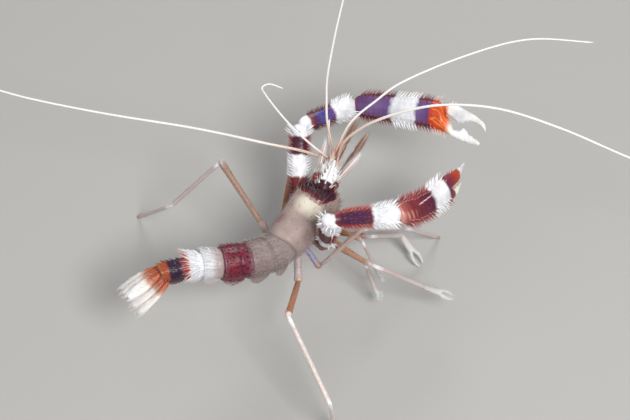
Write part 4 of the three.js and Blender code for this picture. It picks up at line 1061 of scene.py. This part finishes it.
# paint stops along each article, the colour of its dark edges, and where its dark bands lie
# the white bands are painted bluish grey under their spines: painted shade between the spines, under paler
# spine points
CLAW_COLOURS = {
    ("left", "arm"): (
        [(0, (0.52, 0.42, 0.36)), (0.22, (0.50, 0.36, 0.32)), (0.30, RED), (0.53, (0.22, 0.02, 0.025)),
         (0.555, WHITE_WITH_PAINTED_SHADE), (0.73, WHITE_WITH_PAINTED_SHADE), (0.755, (0.10, 0.010, 0.025)), (0.89, (0.05, 0.006, 0.028)),
         (0.915, WHITE_WITH_PAINTED_SHADE)], (0.19, 0.016, 0.018), ((0.29, 0.54), (0.75, 0.905))),
    ("left", "wrist"): (
        [(0, WHITE_WITH_PAINTED_SHADE), (0.13, WHITE_WITH_PAINTED_SHADE), (0.16, (0.24, 0.05, 0.035)), (0.23, (0.10, 0.035, 0.10)),
         (0.32, (0.085, 0.070, 0.29)), (0.42, BLUE), (0.56, VIOLET), (0.60, WHITE_WITH_PAINTED_SHADE), (1, WHITE_WITH_PAINTED_SHADE)],
        (0.10, 0.010, 0.024), ((0.15, 0.585),)),
    ("left", "palm"): (
        [(0, WHITE_WITH_PAINTED_SHADE), (0.012, (0.16, 0.035, 0.055)), (0.05, VIOLET), (0.16, (0.150, 0.080, 0.215)),
         (0.28, (0.120, 0.062, 0.195)), (0.315, WHITE_WITH_PAINTED_SHADE), (0.470, WHITE_WITH_PAINTED_SHADE), (0.495, (0.130, 0.074, 0.205)),
         (0.580, (0.115, 0.045, 0.170)), (0.592, SCARLET), (0.71, (0.66, 0.10, 0.012)),
         (0.745, (0.80, 0.72, 0.60)), (0.80, WHITE_WITH_PAINTED_SHADE), (1, IVORY)],
        (0.140, 0.014, 0.026), ((0.01, 0.30), (0.485, 0.59))),
    ("left", "finger"): (
        [(0, SCARLET), (0.695, (0.60, 0.08, 0.010)), (0.715, (0.78, 0.73, 0.68)), (0.78, WHITE_WITH_PAINTED_SHADE), (1, IVORY)],
        RED, ((0, 0.3),)),
    ("right", "arm"): (
        [(0, (0.50, 0.40, 0.34)), (0.25, (0.20, 0.10, 0.09)), (0.33, (0.24, 0.14, 0.12)), (0.36, WHITE_WITH_PAINTED_SHADE),
         (0.46, WHITE_WITH_PAINTED_SHADE), (0.49, (0.080, 0.012, 0.022)), (0.69, (0.12, 0.014, 0.020)), (0.72, WHITE_WITH_PAINTED_SHADE)],
        (0.22, 0.02, 0.02), ((0.48, 0.71),)),
    ("right", "wrist"): (
        [(0, WHITE_WITH_PAINTED_SHADE), (0.03, (0.13, 0.018, 0.030)), (0.16, (0.050, 0.008, 0.034)),
         (0.42, (0.070, 0.012, 0.055)), (0.55, (0.10, 0.014, 0.032)), (0.60, WHITE_WITH_PAINTED_SHADE), (1, WHITE_WITH_PAINTED_SHADE)],
        (0.30, 0.028, 0.018), ((0.02, 0.58),)),
    ("right", "palm"): (
        [(0, (0.52, 0.24, 0.20)), (0.04, (0.28, 0.070, 0.060)), (0.11, (0.20, 0.026, 0.034)),
         (0.22, (0.13, 0.014, 0.030)), (0.385, (0.075, 0.009, 0.034)), (0.425, WHITE_WITH_PAINTED_SHADE), (0.600, WHITE_WITH_PAINTED_SHADE),
         (0.64, (0.12, 0.018, 0.050)), (0.71, (0.20, 0.028, 0.036)), (0.735, (0.80, 0.73, 0.60))],
        (0.25, 0.020, 0.020), ((0.08, 0.41), (0.63, 0.72))),
    ("right", "finger"): (
        [(0, (0.16, 0.020, 0.050)), (0.70, (0.17, 0.018, 0.040)), (0.78, (0.34, 0.030, 0.018)),
         (0.86, (0.48, 0.075, 0.018)), (0.885, WHITE_WITH_PAINTED_SHADE), (1, WHITE_WITH_PAINTED_SHADE)], (0.38, 0.04, 0.014), ((0.6, 0.87),))}
# the pale line along the right palm's raised ridge is a painted highlight
RIDGE_HIGHLIGHT_COLOUR = (0.86, 0.70, 0.66)
# left: the pale lines of the left palm; right: pale ribs at the root with a painted glow of light through the
# shell
VEIN_AND_GLOW_COLOUR = {"left": (0.84, 0.28, 0.055), "right": (0.60, 0.24, 0.18)}
# height, slope and bend of the lines on the left palm
VEIN_LINES = ((0.62, 0.02, 0), (0.15, 0.10, 1), (-0.25, -0.06, 2), (-0.6, 0.05, 3))
claw_dice = random.Random(17)


def hip(side, pair, inward=0.0):
    """Where a leg leaves the body; the fifth pair is the last."""
    x = 2.4 + 2.25 * (5 - pair)
    return body_spot(x, side * ((2.1 if pair == 1 else 2.7) - inward) - 0.085 * x, -4.9)


# label, where it leaves the body, steps of (length, yaw, pitch), and the rolls of arm, wrist and palm
GREAT_CLAWS = (
    ("left", hip(LEFT, 3, 0.6), ((4.6, 0, -14), (15.4, 27, 38.5), (12.6, -27, -13), (24, -82, 11)),
     (-86, -57, -55)),
    ("right", hip(RIGHT, 3), ((4.8, -116, 28), (14.2, -138, 73), (13.6, -41, -20), (22, -18, -23)),
     (39, -53, -50)))


def claw_paint(label, part):
    """The paint of one claw article."""
    stops, edge_colour, _ = CLAW_COLOURS[label, part]
    return paint(f"{label}_{part}", stops, ragged=0.05, edge_fineness=800, spots=0.15, spot_fineness=2400,
                 cloud=1.1, cloud_fineness=420, tips=(0.95, 0.95, 0.93), tip_amount=0.8,
                 layers=(("rim", [(0.2, 0), (0.8, 1)], edge_colour),
                         ("ridge", [(0.3, 0), (0.9, 0.9)], RIDGE_HIGHLIGHT_COLOUR),
                         ("vein", [(0.3, 0), (0.9, 0.8)], VEIN_AND_GLOW_COLOUR[label])))


def dark(place, bands):
    """1 in the dark bands of an article, 0 in the pale ones."""
    return np.max([np.clip(np.minimum(place - start, end - place) / 0.012 + 0.5, 0, 1)
                   for start, end in bands], axis=0)


def edges(shade, bands):
    """A field that is 1 along the upper and lower edges of a flat article's dark bands."""
    return lambda t, angle: np.clip((abs(np.sin(angle)) - 0.62) / 0.32, 0, 1) * dark(shade(t), bands)


def comb(casting, skin, angle, start, end, spacing, length, bands, base=0.20, lean=0.5, spread=4, rim=1.0):
    """A row of spines along a skin at one angle round it."""
    at = start + spacing * claw_dice.uniform(0.85, 1.15)
    while at <= end:
        place = float(skin.shade(at))
        in_dark = float(dark(place, bands))
        turn = angle + claw_dice.uniform(-spread, spread)
        size = length * claw_dice.uniform(0.85, 1.15)
        spine(casting, skin, at, turn, 1, lean, size, base * min(1, 0.5 + size / 2),
              pale=1 - (0.6 if rim else 0.85) * in_dark, along=place, rim=rim * in_dark)
        at += spacing * claw_dice.uniform(0.85, 1.15)


def window(x, start, end, soft):
    """1 between two places, fading to 0 at both."""
    return np.clip((x - start) / soft, 0, 1) * np.clip((end - x) / soft, 0, 1)


def cuff_relief(t, angle):
    """A gently waved surface, with a crease near the root."""
    return 0.05 * np.sin(angle * 5 + 1) * np.sin(t * 9) - 0.08 * hump(t, 0.14, 0.015)


for label, start, steps, rolls in GREAT_CLAWS:
    arm_bands, wrist_bands, palm_bands, finger_bands = (CLAW_COLOURS[label, part][2] for part in CLAW_PARTS)
    arm_paint, wrist_paint, palm_paint, finger_paint = (claw_paint(label, part) for part in CLAW_PARTS)
    shoulder, elbow, knee, wrist, palm_end = chain(start, steps)

    # arm: the short first article and the long second one
    arm = Casting("rim")
    first = article(shoulder, elbow, ARM_THICKNESS - 0.1, shade=lambda t: t * 0.25)
    first.cast(arm, count=36, sides=40)
    for angle in (30, 75, 120, 165, 255, 300):
        comb(arm, first, angle, 0.2, 0.97, 0.16, 0.6, arm_bands, base=0.12)
    length = (knee - elbow).length
    second = article(elbow, knee, ARM_THICKNESS, deep=ARM_THICKNESS * ARM_DEPTH,
                     up=rolled_up((knee - elbow).normalized(), rolls[0]), wrinkle=0.012,
                     shade=lambda t: 0.25 + 0.75 * t)
    second.cast(arm, count=90, sides=48, rim=edges(second.shade, arm_bands))
    for angle in (90, -90):
        comb(arm, second, angle, 0.06, 0.99, 0.52 / length, 1.0, arm_bands)
        for turn in (-34, 34):
            comb(arm, second, angle + turn, 0.1, 0.98, 0.80 / length, 0.8, arm_bands, base=0.16)
    for angle in (0, 180):
        comb(arm, second, angle, 0.15, 0.98, 1.2 / length, 0.6, arm_bands, base=0.11, spread=16, rim=0)
    for place in (0.90, 0.955):
        for angle in range(0, 360, 36):
            comb(arm, second, angle + place * 400, place - 0.01, place, 0.01, 1.25, arm_bands)
    piece(f"claw_arm_shell_{label}", arm, arm_paint, [f"claw_arm_{label}"], "red_shell")

    # wrist: one article that flares into a bristling cuff
    cuff = Casting("rim")
    cut, length = knee.lerp(wrist, 0.02), (wrist - knee).length
    cuff_rings = [(t, cut.lerp(wrist, t), CUFF_HALF_WIDTH * s, CUFF_HALF_DEPTH * s) for t, s in CUFF_RINGS]
    cuff_skin = Skin(cuff_rings, rolled_up((wrist - knee).normalized(), rolls[1]), relief=cuff_relief)
    cuff_skin.cast(cuff, count=80, sides=48, rim=edges(cuff_skin.shade, wrist_bands))
    for angle in (90, -90):
        comb(cuff, cuff_skin, angle, 0.14, 0.97, 0.52 / length, 1.0, wrist_bands, lean=0.6)
        for turn in (-34, 34):
            comb(cuff, cuff_skin, angle + turn, 0.2, 0.97, 0.75 / length, 0.8, wrist_bands, base=0.16)
    for angle in (-26, 0, 26, 154, 180, 206):
        comb(cuff, cuff_skin, angle, 0.16, 0.60, 0.9 / length, 0.5, wrist_bands, base=0.14, spread=8, rim=0)
    for place, size in ((0.66, 0.95), (0.78, 1.1), (0.89, 1.2)):
        for angle in range(0, 360, 36):
            comb(cuff, cuff_skin, angle + place * 160, place - 0.01, place, 0.01, size, wrist_bands,
                 base=0.21, lean=0.75)
    piece(f"claw_wrist_shell_{label}", cuff, wrist_paint, [f"claw_wrist_{label}"], "violet_shell")

    # palm with the fixed finger
    way = (palm_end - wrist).normalized()
    up = rolled_up(way, rolls[2])
    palm_rows = HANDS[label]["palm"] + HANDS[label]["fixed"]
    finger_rows = HANDS[label]["moving"]
    palm, total = HANDS[label]["palm"][-1][0], finger_rows[-1][0]

    def laid(rows):
        """The rows of a hand as rings along it."""
        return [(x, wrist + way * x + up * ((low + high) / 2), wide, (high - low) / 2)
                for x, low, high, wide in rows]

    def ridge(x, angle):
        """The right palm's raised ridge, which climbs slantwise to its upper edge, with a painted highlight
        along it.
        """
        climb = hump(np.sin(angle), 0.97 * x / palm - 0.06, 0.05)
        return climb * window(x, palm * 0.25, palm * 0.93, 0.6) * (label == "right")

    def palm_relief(x, angle):
        """Ribs and the ridge on the palm, and teeth on the inner edge of the fixed finger."""
        ribs = 0.05 * np.cos(angle * 8) ** 3 + 0.09 * ridge(x, angle)
        teeth = np.maximum(0, np.sin(x * 6.5)) * (x > palm + 0.5) * hump(angle, math.pi / 2, 0.3)
        return ribs * window(x, 1, palm, 2) + 0.12 * teeth + 0.02 * np.sin(x * 6 + angle * 3)

    def vein(x, angle):
        """Pale lines that branch back from the left hand's hinge; pale ribs at the right hand's root, in an
        orange-pink that is partly its own colour and partly a painted glow of light through the shell.
        """
        height = np.sin(angle)
        # on the right hand's root: pale ribs on a painted glow of light through the shell
        if label == "right":
            ribs = 0.55 + 0.45 * np.cos(x * 6.5 + height * 3)
            return ribs * hump(height, -0.35, 0.45) * hump(x, 1.7, 1.7) * 1.2
        lines = sum(hump(height, rise + slope * (palm - x) + 0.08 * np.sin(x * 2.3 + bend), 0.07)
                    for rise, slope, bend in VEIN_LINES)
        return np.clip(lines, 0, 1) * window(x, palm * 0.84, palm * 1.06, 0.8)

    hand = Casting("rim", "ridge", "vein")
    palm_skin = Skin(laid(palm_rows), up, relief=palm_relief, shade=lambda x: x / total,
                     aheads=[way] * len(palm_rows))
    palm_skin.cast(hand, count=210, sides=72, rim=edges(palm_skin.shade, palm_bands), ridge=ridge, vein=vein)
    comb(hand, palm_skin, 90, 0.7, palm * 0.93, 0.54, 1.2, palm_bands, lean=0.35)
    comb(hand, palm_skin, -90, 0.7, palm * 1.02, 0.54, 1.2, palm_bands, lean=0.35)
    for angle in (90, -90):
        for turn, size in ((-22, 0.75), (22, 0.75), (-45, 0.45), (45, 0.45)):
            comb(hand, palm_skin, angle + turn, palm * 0.06, palm * 0.92, 0.75, size, palm_bands, base=0.16)
    for angle in (-20, 20, 160, 200):
        comb(hand, palm_skin, angle, palm * 0.12, palm * 0.92, 1.5, 0.3, palm_bands, base=0.09, spread=16,
             rim=0)
    piece(f"claw_palm_shell_{label}", hand, palm_paint, [f"claw_palm_{label}"], "violet_shell")

    def finger_relief(x, angle):
        """Teeth on the inner edge of the moving finger, and faint ribs round it."""
        teeth = np.maximum(0, np.sin(x * 6.5 + 1.5)) * (x > palm + 2) * hump(angle, 1.5 * math.pi, 0.3)
        return 0.10 * teeth + 0.03 * np.sin(angle * 6) * (x > palm)

    # the moving finger, hinged in a notch of the palm
    digit = Casting("rim", "ridge", "vein")
    digit_skin = Skin(laid(finger_rows), up, relief=finger_relief, shade=lambda x: x / total,
                      aheads=[way] * len(finger_rows))
    digit_skin.cast(digit, count=110, sides=48)
    comb(digit, digit_skin, 90, palm + 0.2, palm + 2.6, 0.7, 0.6, finger_bands, base=0.14)
    for angle in (60, 120):
        comb(digit, digit_skin, angle, palm + 0.2, palm + 2, 0.9, 0.42, finger_bands, base=0.11)
    piece(f"claw_finger_shell_{label}", digit, finger_paint, [f"claw_finger_{label}"], "white_shell")

# ------------------------------------------------------------------ slender pincer legs
# The first and second legs: thin tubes of shell, orange-brown near the body and greyish white
# beyond, each ending in a small hand with two straight fingers and tufts of cleaning bristles.
# steps of (length, yaw, pitch), thickness, width of the hand, colours of the upper and lower leg
PINCER_LEGS = {
    ("right", RIGHT, 2): (((4.5, -108, -20), (9.2, -103, 16), (12, -64, -35), (7, -58, -37)), 0.95, 1.15,
                          (0.42, 0.25, 0.17), (0.52, 0.43, 0.40)),
    ("right", RIGHT, 1): (((4.0, -122, -40), (8.2, -96, -14), (6.4, -109, -64), (3, -80, -64)), 0.8, 0.95,
                          (0.38, 0.18, 0.10), (0.44, 0.36, 0.35)),
    ("left", LEFT, 2): (((4.6, -70, -50), (10.4, -62, -13), (10, -28, -38), (7, -104, -44)), 0.95, 1.3,
                        (0.26, 0.11, 0.055), (0.50, 0.43, 0.42)),
    ("left", LEFT, 1): (((4.4, -74, -48), (9.6, -91, -1), (7.6, -104, -58), (3.4, -50, -70)), 0.8, 0.95,
                        (0.38, 0.18, 0.10), (0.44, 0.36, 0.35))}
PINCER_RINGS = ((-0.05, 0.12), (0, 0.22), (0.15, 0.26), (0.5, 0.22), (0.8, 0.15), (0.95, 0.09), (1.0, 0.03))
RUST_SPOTS = (0.42, 0.2, 0.15)
leg_dice = random.Random(77)


def spinules(casting, skin, rows, spacing, size):
    """Short fine spines scattered along a leg article."""
    at = 0.08
    while at < 0.97:
        for angle in rows:
            spine(casting, skin, at + leg_dice.uniform(-0.01, 0.01), angle + leg_dice.uniform(-12, 12),
                  0.8, 1, size * leg_dice.uniform(0.7, 1.2), 0.05, sides=4, along=float(skin.shade(at)))
        at += spacing


def upper_leg(casting, joints, widths, split, count, sides, rows, size):
    """The short first article and the long second one; the paint's stops split between them."""
    for i, width in enumerate(widths):
        tube = article(joints[i], joints[i + 1], width,
                       shade=lambda t, i=i: split + (1 - split) * t if i else split * t)
        tube.cast(casting, count=count, sides=sides)
        spinules(casting, tube, rows, 1.1 / (joints[i + 1] - joints[i]).length, size)
    return tube


for (label, side, pair), (steps, thick, hand, upper_colour, lower_colour) in PINCER_LEGS.items():
    joints = chain(hip(side, pair, 1.4 if (label, pair) == ("left", 2) else 0), steps)
    upper = Casting()
    upper_leg(upper, joints, (thick * 1.25, thick * 1.02), 0.3, 50, 28, (50, 130, 270), 0.28)
    upper_paint = paint(
        f"pincer_leg_{pair}_{label}_upper",
        [(0, (0.46, 0.36, 0.33)), (0.25, upper_colour), (0.9, upper_colour), (1, lower_colour)],
        ragged=0.08, spots=0.3, spot_colour=(0.14, 0.03, 0.02), flesh=0.3, tips=WHITE)
    piece(f"leg{pair}_{label}_upper_shell", upper, upper_paint, [f"leg{pair}_{label}_upper"], "orange_leg")

    lower = Casting()
    knee, wrist, finger_end = joints[2:]
    palm = wrist.lerp(finger_end, 0.55)
    way = (finger_end - wrist).normalized()
    across = way.cross(Vector((0, 0, 1))).normalized()
    shank = article(knee, wrist, thick * 0.86, shade=lambda t: 0.55 * t)
    shank.cast(lower, count=60, sides=28)
    spinules(lower, shank, (60, 180, 300), 1.1 / (wrist - knee).length, 0.22)
    palm_tube = article(wrist, palm, hand * 0.78, deep=hand, up=across, shade=lambda t: 0.55 + 0.25 * t)
    palm_tube.cast(lower, count=40, sides=32)
    for turn in (1, -1):
        base = palm - way * 0.3 + across * (turn * hand * 0.24)
        tip = finger_end + across * (turn * hand * 0.62)
        finger_skin = Skin([(t, base.lerp(tip, t) + across * (turn * 0.25 * math.sin(math.pi * max(t, 0)))
                             - across * (turn * 0.35 * max(t, 0) ** 5), hand * r, hand * r * 1.05)
                            for t, r in PINCER_RINGS], across, shade=lambda t: 0.8 + 0.2 * t)
        finger_skin.cast(lower, count=36, sides=20)
        for t in np.arange(0.2, 0.98, 0.06):
            for angle in (30, 150, 210, 330):
                spine(lower, finger_skin, t, angle + leg_dice.uniform(-25, 25), 1, 1.2,
                      leg_dice.uniform(0.35, 0.6), 0.024, curl=False, sides=4, along=0.9)
    lower_paint = paint(
        f"pincer_leg_{pair}_{label}_lower",
        [(0, lower_colour), (0.06, WHITE), (0.14, lower_colour), (0.5, (0.54, 0.48, 0.46)), (1, WHITE)],
        ragged=0.05, spots=0.15, spot_colour=RUST_SPOTS, flesh=0.45, tips=WHITE,
        clear=("along", [(0, 0.95), (1, 0.88)]))
    piece(f"leg{pair}_{label}_lower_shell", lower, lower_paint, [f"leg{pair}_{label}_lower"], "white_leg")

# ------------------------------------------------------------------ walking legs
# The fourth and fifth legs carry the body: long thin tubes, orange-brown above the knee and white
# below, the shank ringed with fine creases, ending in a small blunt toe that stands on the table.
LEG_THICKNESS, SHIN_THICKNESS, TOE_RADIUS = 1.15, 0.95, 0.34
# steps, foot, colours of hip, elbow, thigh and knee, colour of the shin, slimness of the thigh
WALKING_LEGS = {
    ("right", RIGHT, 5): (((4.8, -150, -28), (14, -160, 32), (17, -123, -28)), (-17.3, -20.0),
                          ((0.46, 0.38, 0.38), (0.50, 0.33, 0.23), (0.46, 0.23, 0.13), (0.42, 0.18, 0.09)),
                          (0.66, 0.58, 0.54), 1),
    ("left", LEFT, 5): (((4.6, 52, -4), (13.6, 73, 42), (18, 114, -56)), (5.6, 35.0),
                        ((0.40, 0.30, 0.27), (0.38, 0.26, 0.20), (0.34, 0.22, 0.165), (0.33, 0.21, 0.155)),
                        (0.50, 0.43, 0.42), 1),
    ("right", RIGHT, 4): (((4.8, -112, -26), (13.0, -54, 55), (18, -16, -46)), (28.6, -18.6),
                          ((0.30, 0.27, 0.38), (0.42, 0.21, 0.12), (0.42, 0.35, 0.36), (0.44, 0.32, 0.28)),
                          (0.50, 0.43, 0.42), 0.75),
    ("left", LEFT, 4): (((4.4, 15, -12), (13, 19, 6), (16.5, 15, -46)), (37, 14),
                        ((0.36, 0.26, 0.24), (0.34, 0.16, 0.08), (0.32, 0.12, 0.05), ORANGE),
                        (0.50, 0.43, 0.41), 1)}
TOE_RINGS = ((-0.12, 0.18), (0, 0.30), (0.3, 0.32), (0.6, 0.30), (0.82, TOE_RADIUS), (1.0, TOE_RADIUS),
             (1.001, 0.1))
for (label, side, pair), (steps, foot, colours, shin_colour, slim) in WALKING_LEGS.items():
    hip_colour, elbow_colour, thigh_colour, knee_colour = colours
    joints = chain(hip(side, pair), steps)
    upper = Casting()
    widths = (LEG_THICKNESS * 1.3 * slim, LEG_THICKNESS * 1.02 * slim)
    thigh = upper_leg(upper, joints, widths, 0.26, 60, 32, (40, 90, 140, 270), 0.38)
    for angle in (55, 90, 125):
        spine(upper, thigh, 0.93, angle, 1, 1.4, 0.75, 0.12, along=0.98)
    upper_paint = paint(
        f"walking_leg_{pair}_{label}_upper",
        [(0, hip_colour), (0.20, hip_colour), (0.26, elbow_colour), (0.34, thigh_colour), (0.85, knee_colour),
         (0.96, knee_colour), (1, shin_colour)],
        ragged=0.07, spots=0.35, spot_colour=(0.16, 0.03, 0.02), flesh=0.3, tips=WHITE)
    piece(f"leg{pair}_{label}_upper_shell", upper, upper_paint, [f"leg{pair}_{label}_upper"], "orange_leg")

    lower = Casting()
    knee, ankle_top = joints[2:]
    sole = Vector((foot[0], foot[1], 0))
    ankle = ankle_top.lerp(sole, 0.93)
    shin = article(knee, ankle_top, SHIN_THICKNESS, narrow=0.85, wrinkle=0.018, shade=lambda t: 0.6 * t)
    shin.cast(lower, count=220, sides=24)
    spinules(lower, shin, (90, 210, 330), 1.4 / (ankle_top - knee).length, 0.22)
    tarsus = article(ankle_top, ankle, SHIN_THICKNESS * 0.8, narrow=0.85, wrinkle=0.014,
                     shade=lambda t: 0.6 + 0.32 * t)
    tarsus.cast(lower, count=120, sides=24)
    spinules(lower, tarsus, (90, 210, 330), 0.12, 0.22)
    toe_way = (sole - ankle_top).normalized()
    toe = Skin([(t, ankle.lerp(sole, t), r, r) for t, r in TOE_RINGS], Vector((1, 0, 0)),
               shade=lambda t: 0.92 + 0.08 * t, aheads=[toe_way] * 4 + [Vector((0, 0, -1))] * 3)
    toe.cast(lower, count=24, sides=24)
    lower_paint = paint(
        f"walking_leg_{pair}_{label}_lower",
        [(0, shin_colour), (0.03, WHITE), (0.08, shin_colour), (0.55, shin_colour), (0.6, WHITE),
         (0.66, shin_colour), (0.9, shin_colour), (0.96, (0.42, 0.24, 0.14))],
        ragged=0.03, spots=0.12, spot_colour=RUST_SPOTS, flesh=0.45, tips=WHITE)
    piece(f"leg{pair}_{label}_lower_shell", lower, lower_paint, [f"leg{pair}_{label}_lower"], "white_leg")

# ------------------------------------------------------------------ third mouth legs
# Two flat brownish limbs of three articles, folded forward under the head from behind the mouthparts,
# with a beard of bristles along their edges.
MOUTH_LEGS = {("left", LEFT): ((7.4, -14, 18), (6, -7.5, 33), (5.6, -7.5, 34)),
              ("right", RIGHT): ((7.4, -10, 18), (5.5, -11, 32), (4.5, -11.5, 31))}
# place along an article, and share of its thickness
BLADE = ((-0.03, 0.5), (0.0, 0.78), (0.1, 0.92), (0.5, 1.0), (0.85, 0.96), (0.96, 0.85), (1.0, 0.7),
         (1.02, 0.35))
LAST_BLADE = ((-0.03, 0.5), (0.0, 0.8), (0.15, 0.95), (0.5, 0.85), (0.8, 0.52), (0.94, 0.24), (1.0, 0.06))
beard_paint = paint(
    "mouth_leg_shell",
    [(0, (0.40, 0.30, 0.26)), (0.3, HORN), (0.85, (0.24, 0.13, 0.09)), (1, (0.42, 0.30, 0.25))],
    layers=(("edge", [(0.25, 0.45), (0.6, 0)], (0.34, 0.20, 0.15)),),
    ragged=0.06, spots=0.4, spot_colour=(0.10, 0.03, 0.02), flesh=0.2, tips=(0.5, 0.38, 0.3),
    clear=("edge", [(0, 0.75), (1, 0.95)]))
for (label, side), steps in MOUTH_LEGS.items():
    joints = chain(body_spot(12.6, side * 1.35 - 0.45, -5.6), steps)
    limb = Casting("edge")
    for i, (thick, profile) in enumerate(((1.25, BLADE), (1.25, BLADE), (1.1, LAST_BLADE))):
        blade = article(joints[i], joints[i + 1], thick, deep=thick * 0.62, up=BODY_UP,
                        profile=profile, shade=lambda t, i=i: (t + i) / 3)
        blade.cast(limb, count=50, sides=32, edge=lambda t, a: abs(np.sin(a)) + 0 * t)
        for t in np.arange(0.06, 0.97, 0.032):
            for angle in (0, 180, 250, 290):
                spine(limb, blade, t, angle + leg_dice.uniform(-18, 18), 1, 0.9, leg_dice.uniform(0.3, 0.6),
                      0.026, sides=4, along=(t + i) / 3)
    piece(f"mouth_leg_{label}", limb, beard_paint, [f"maxilliped_{label}"], "clear_shell")
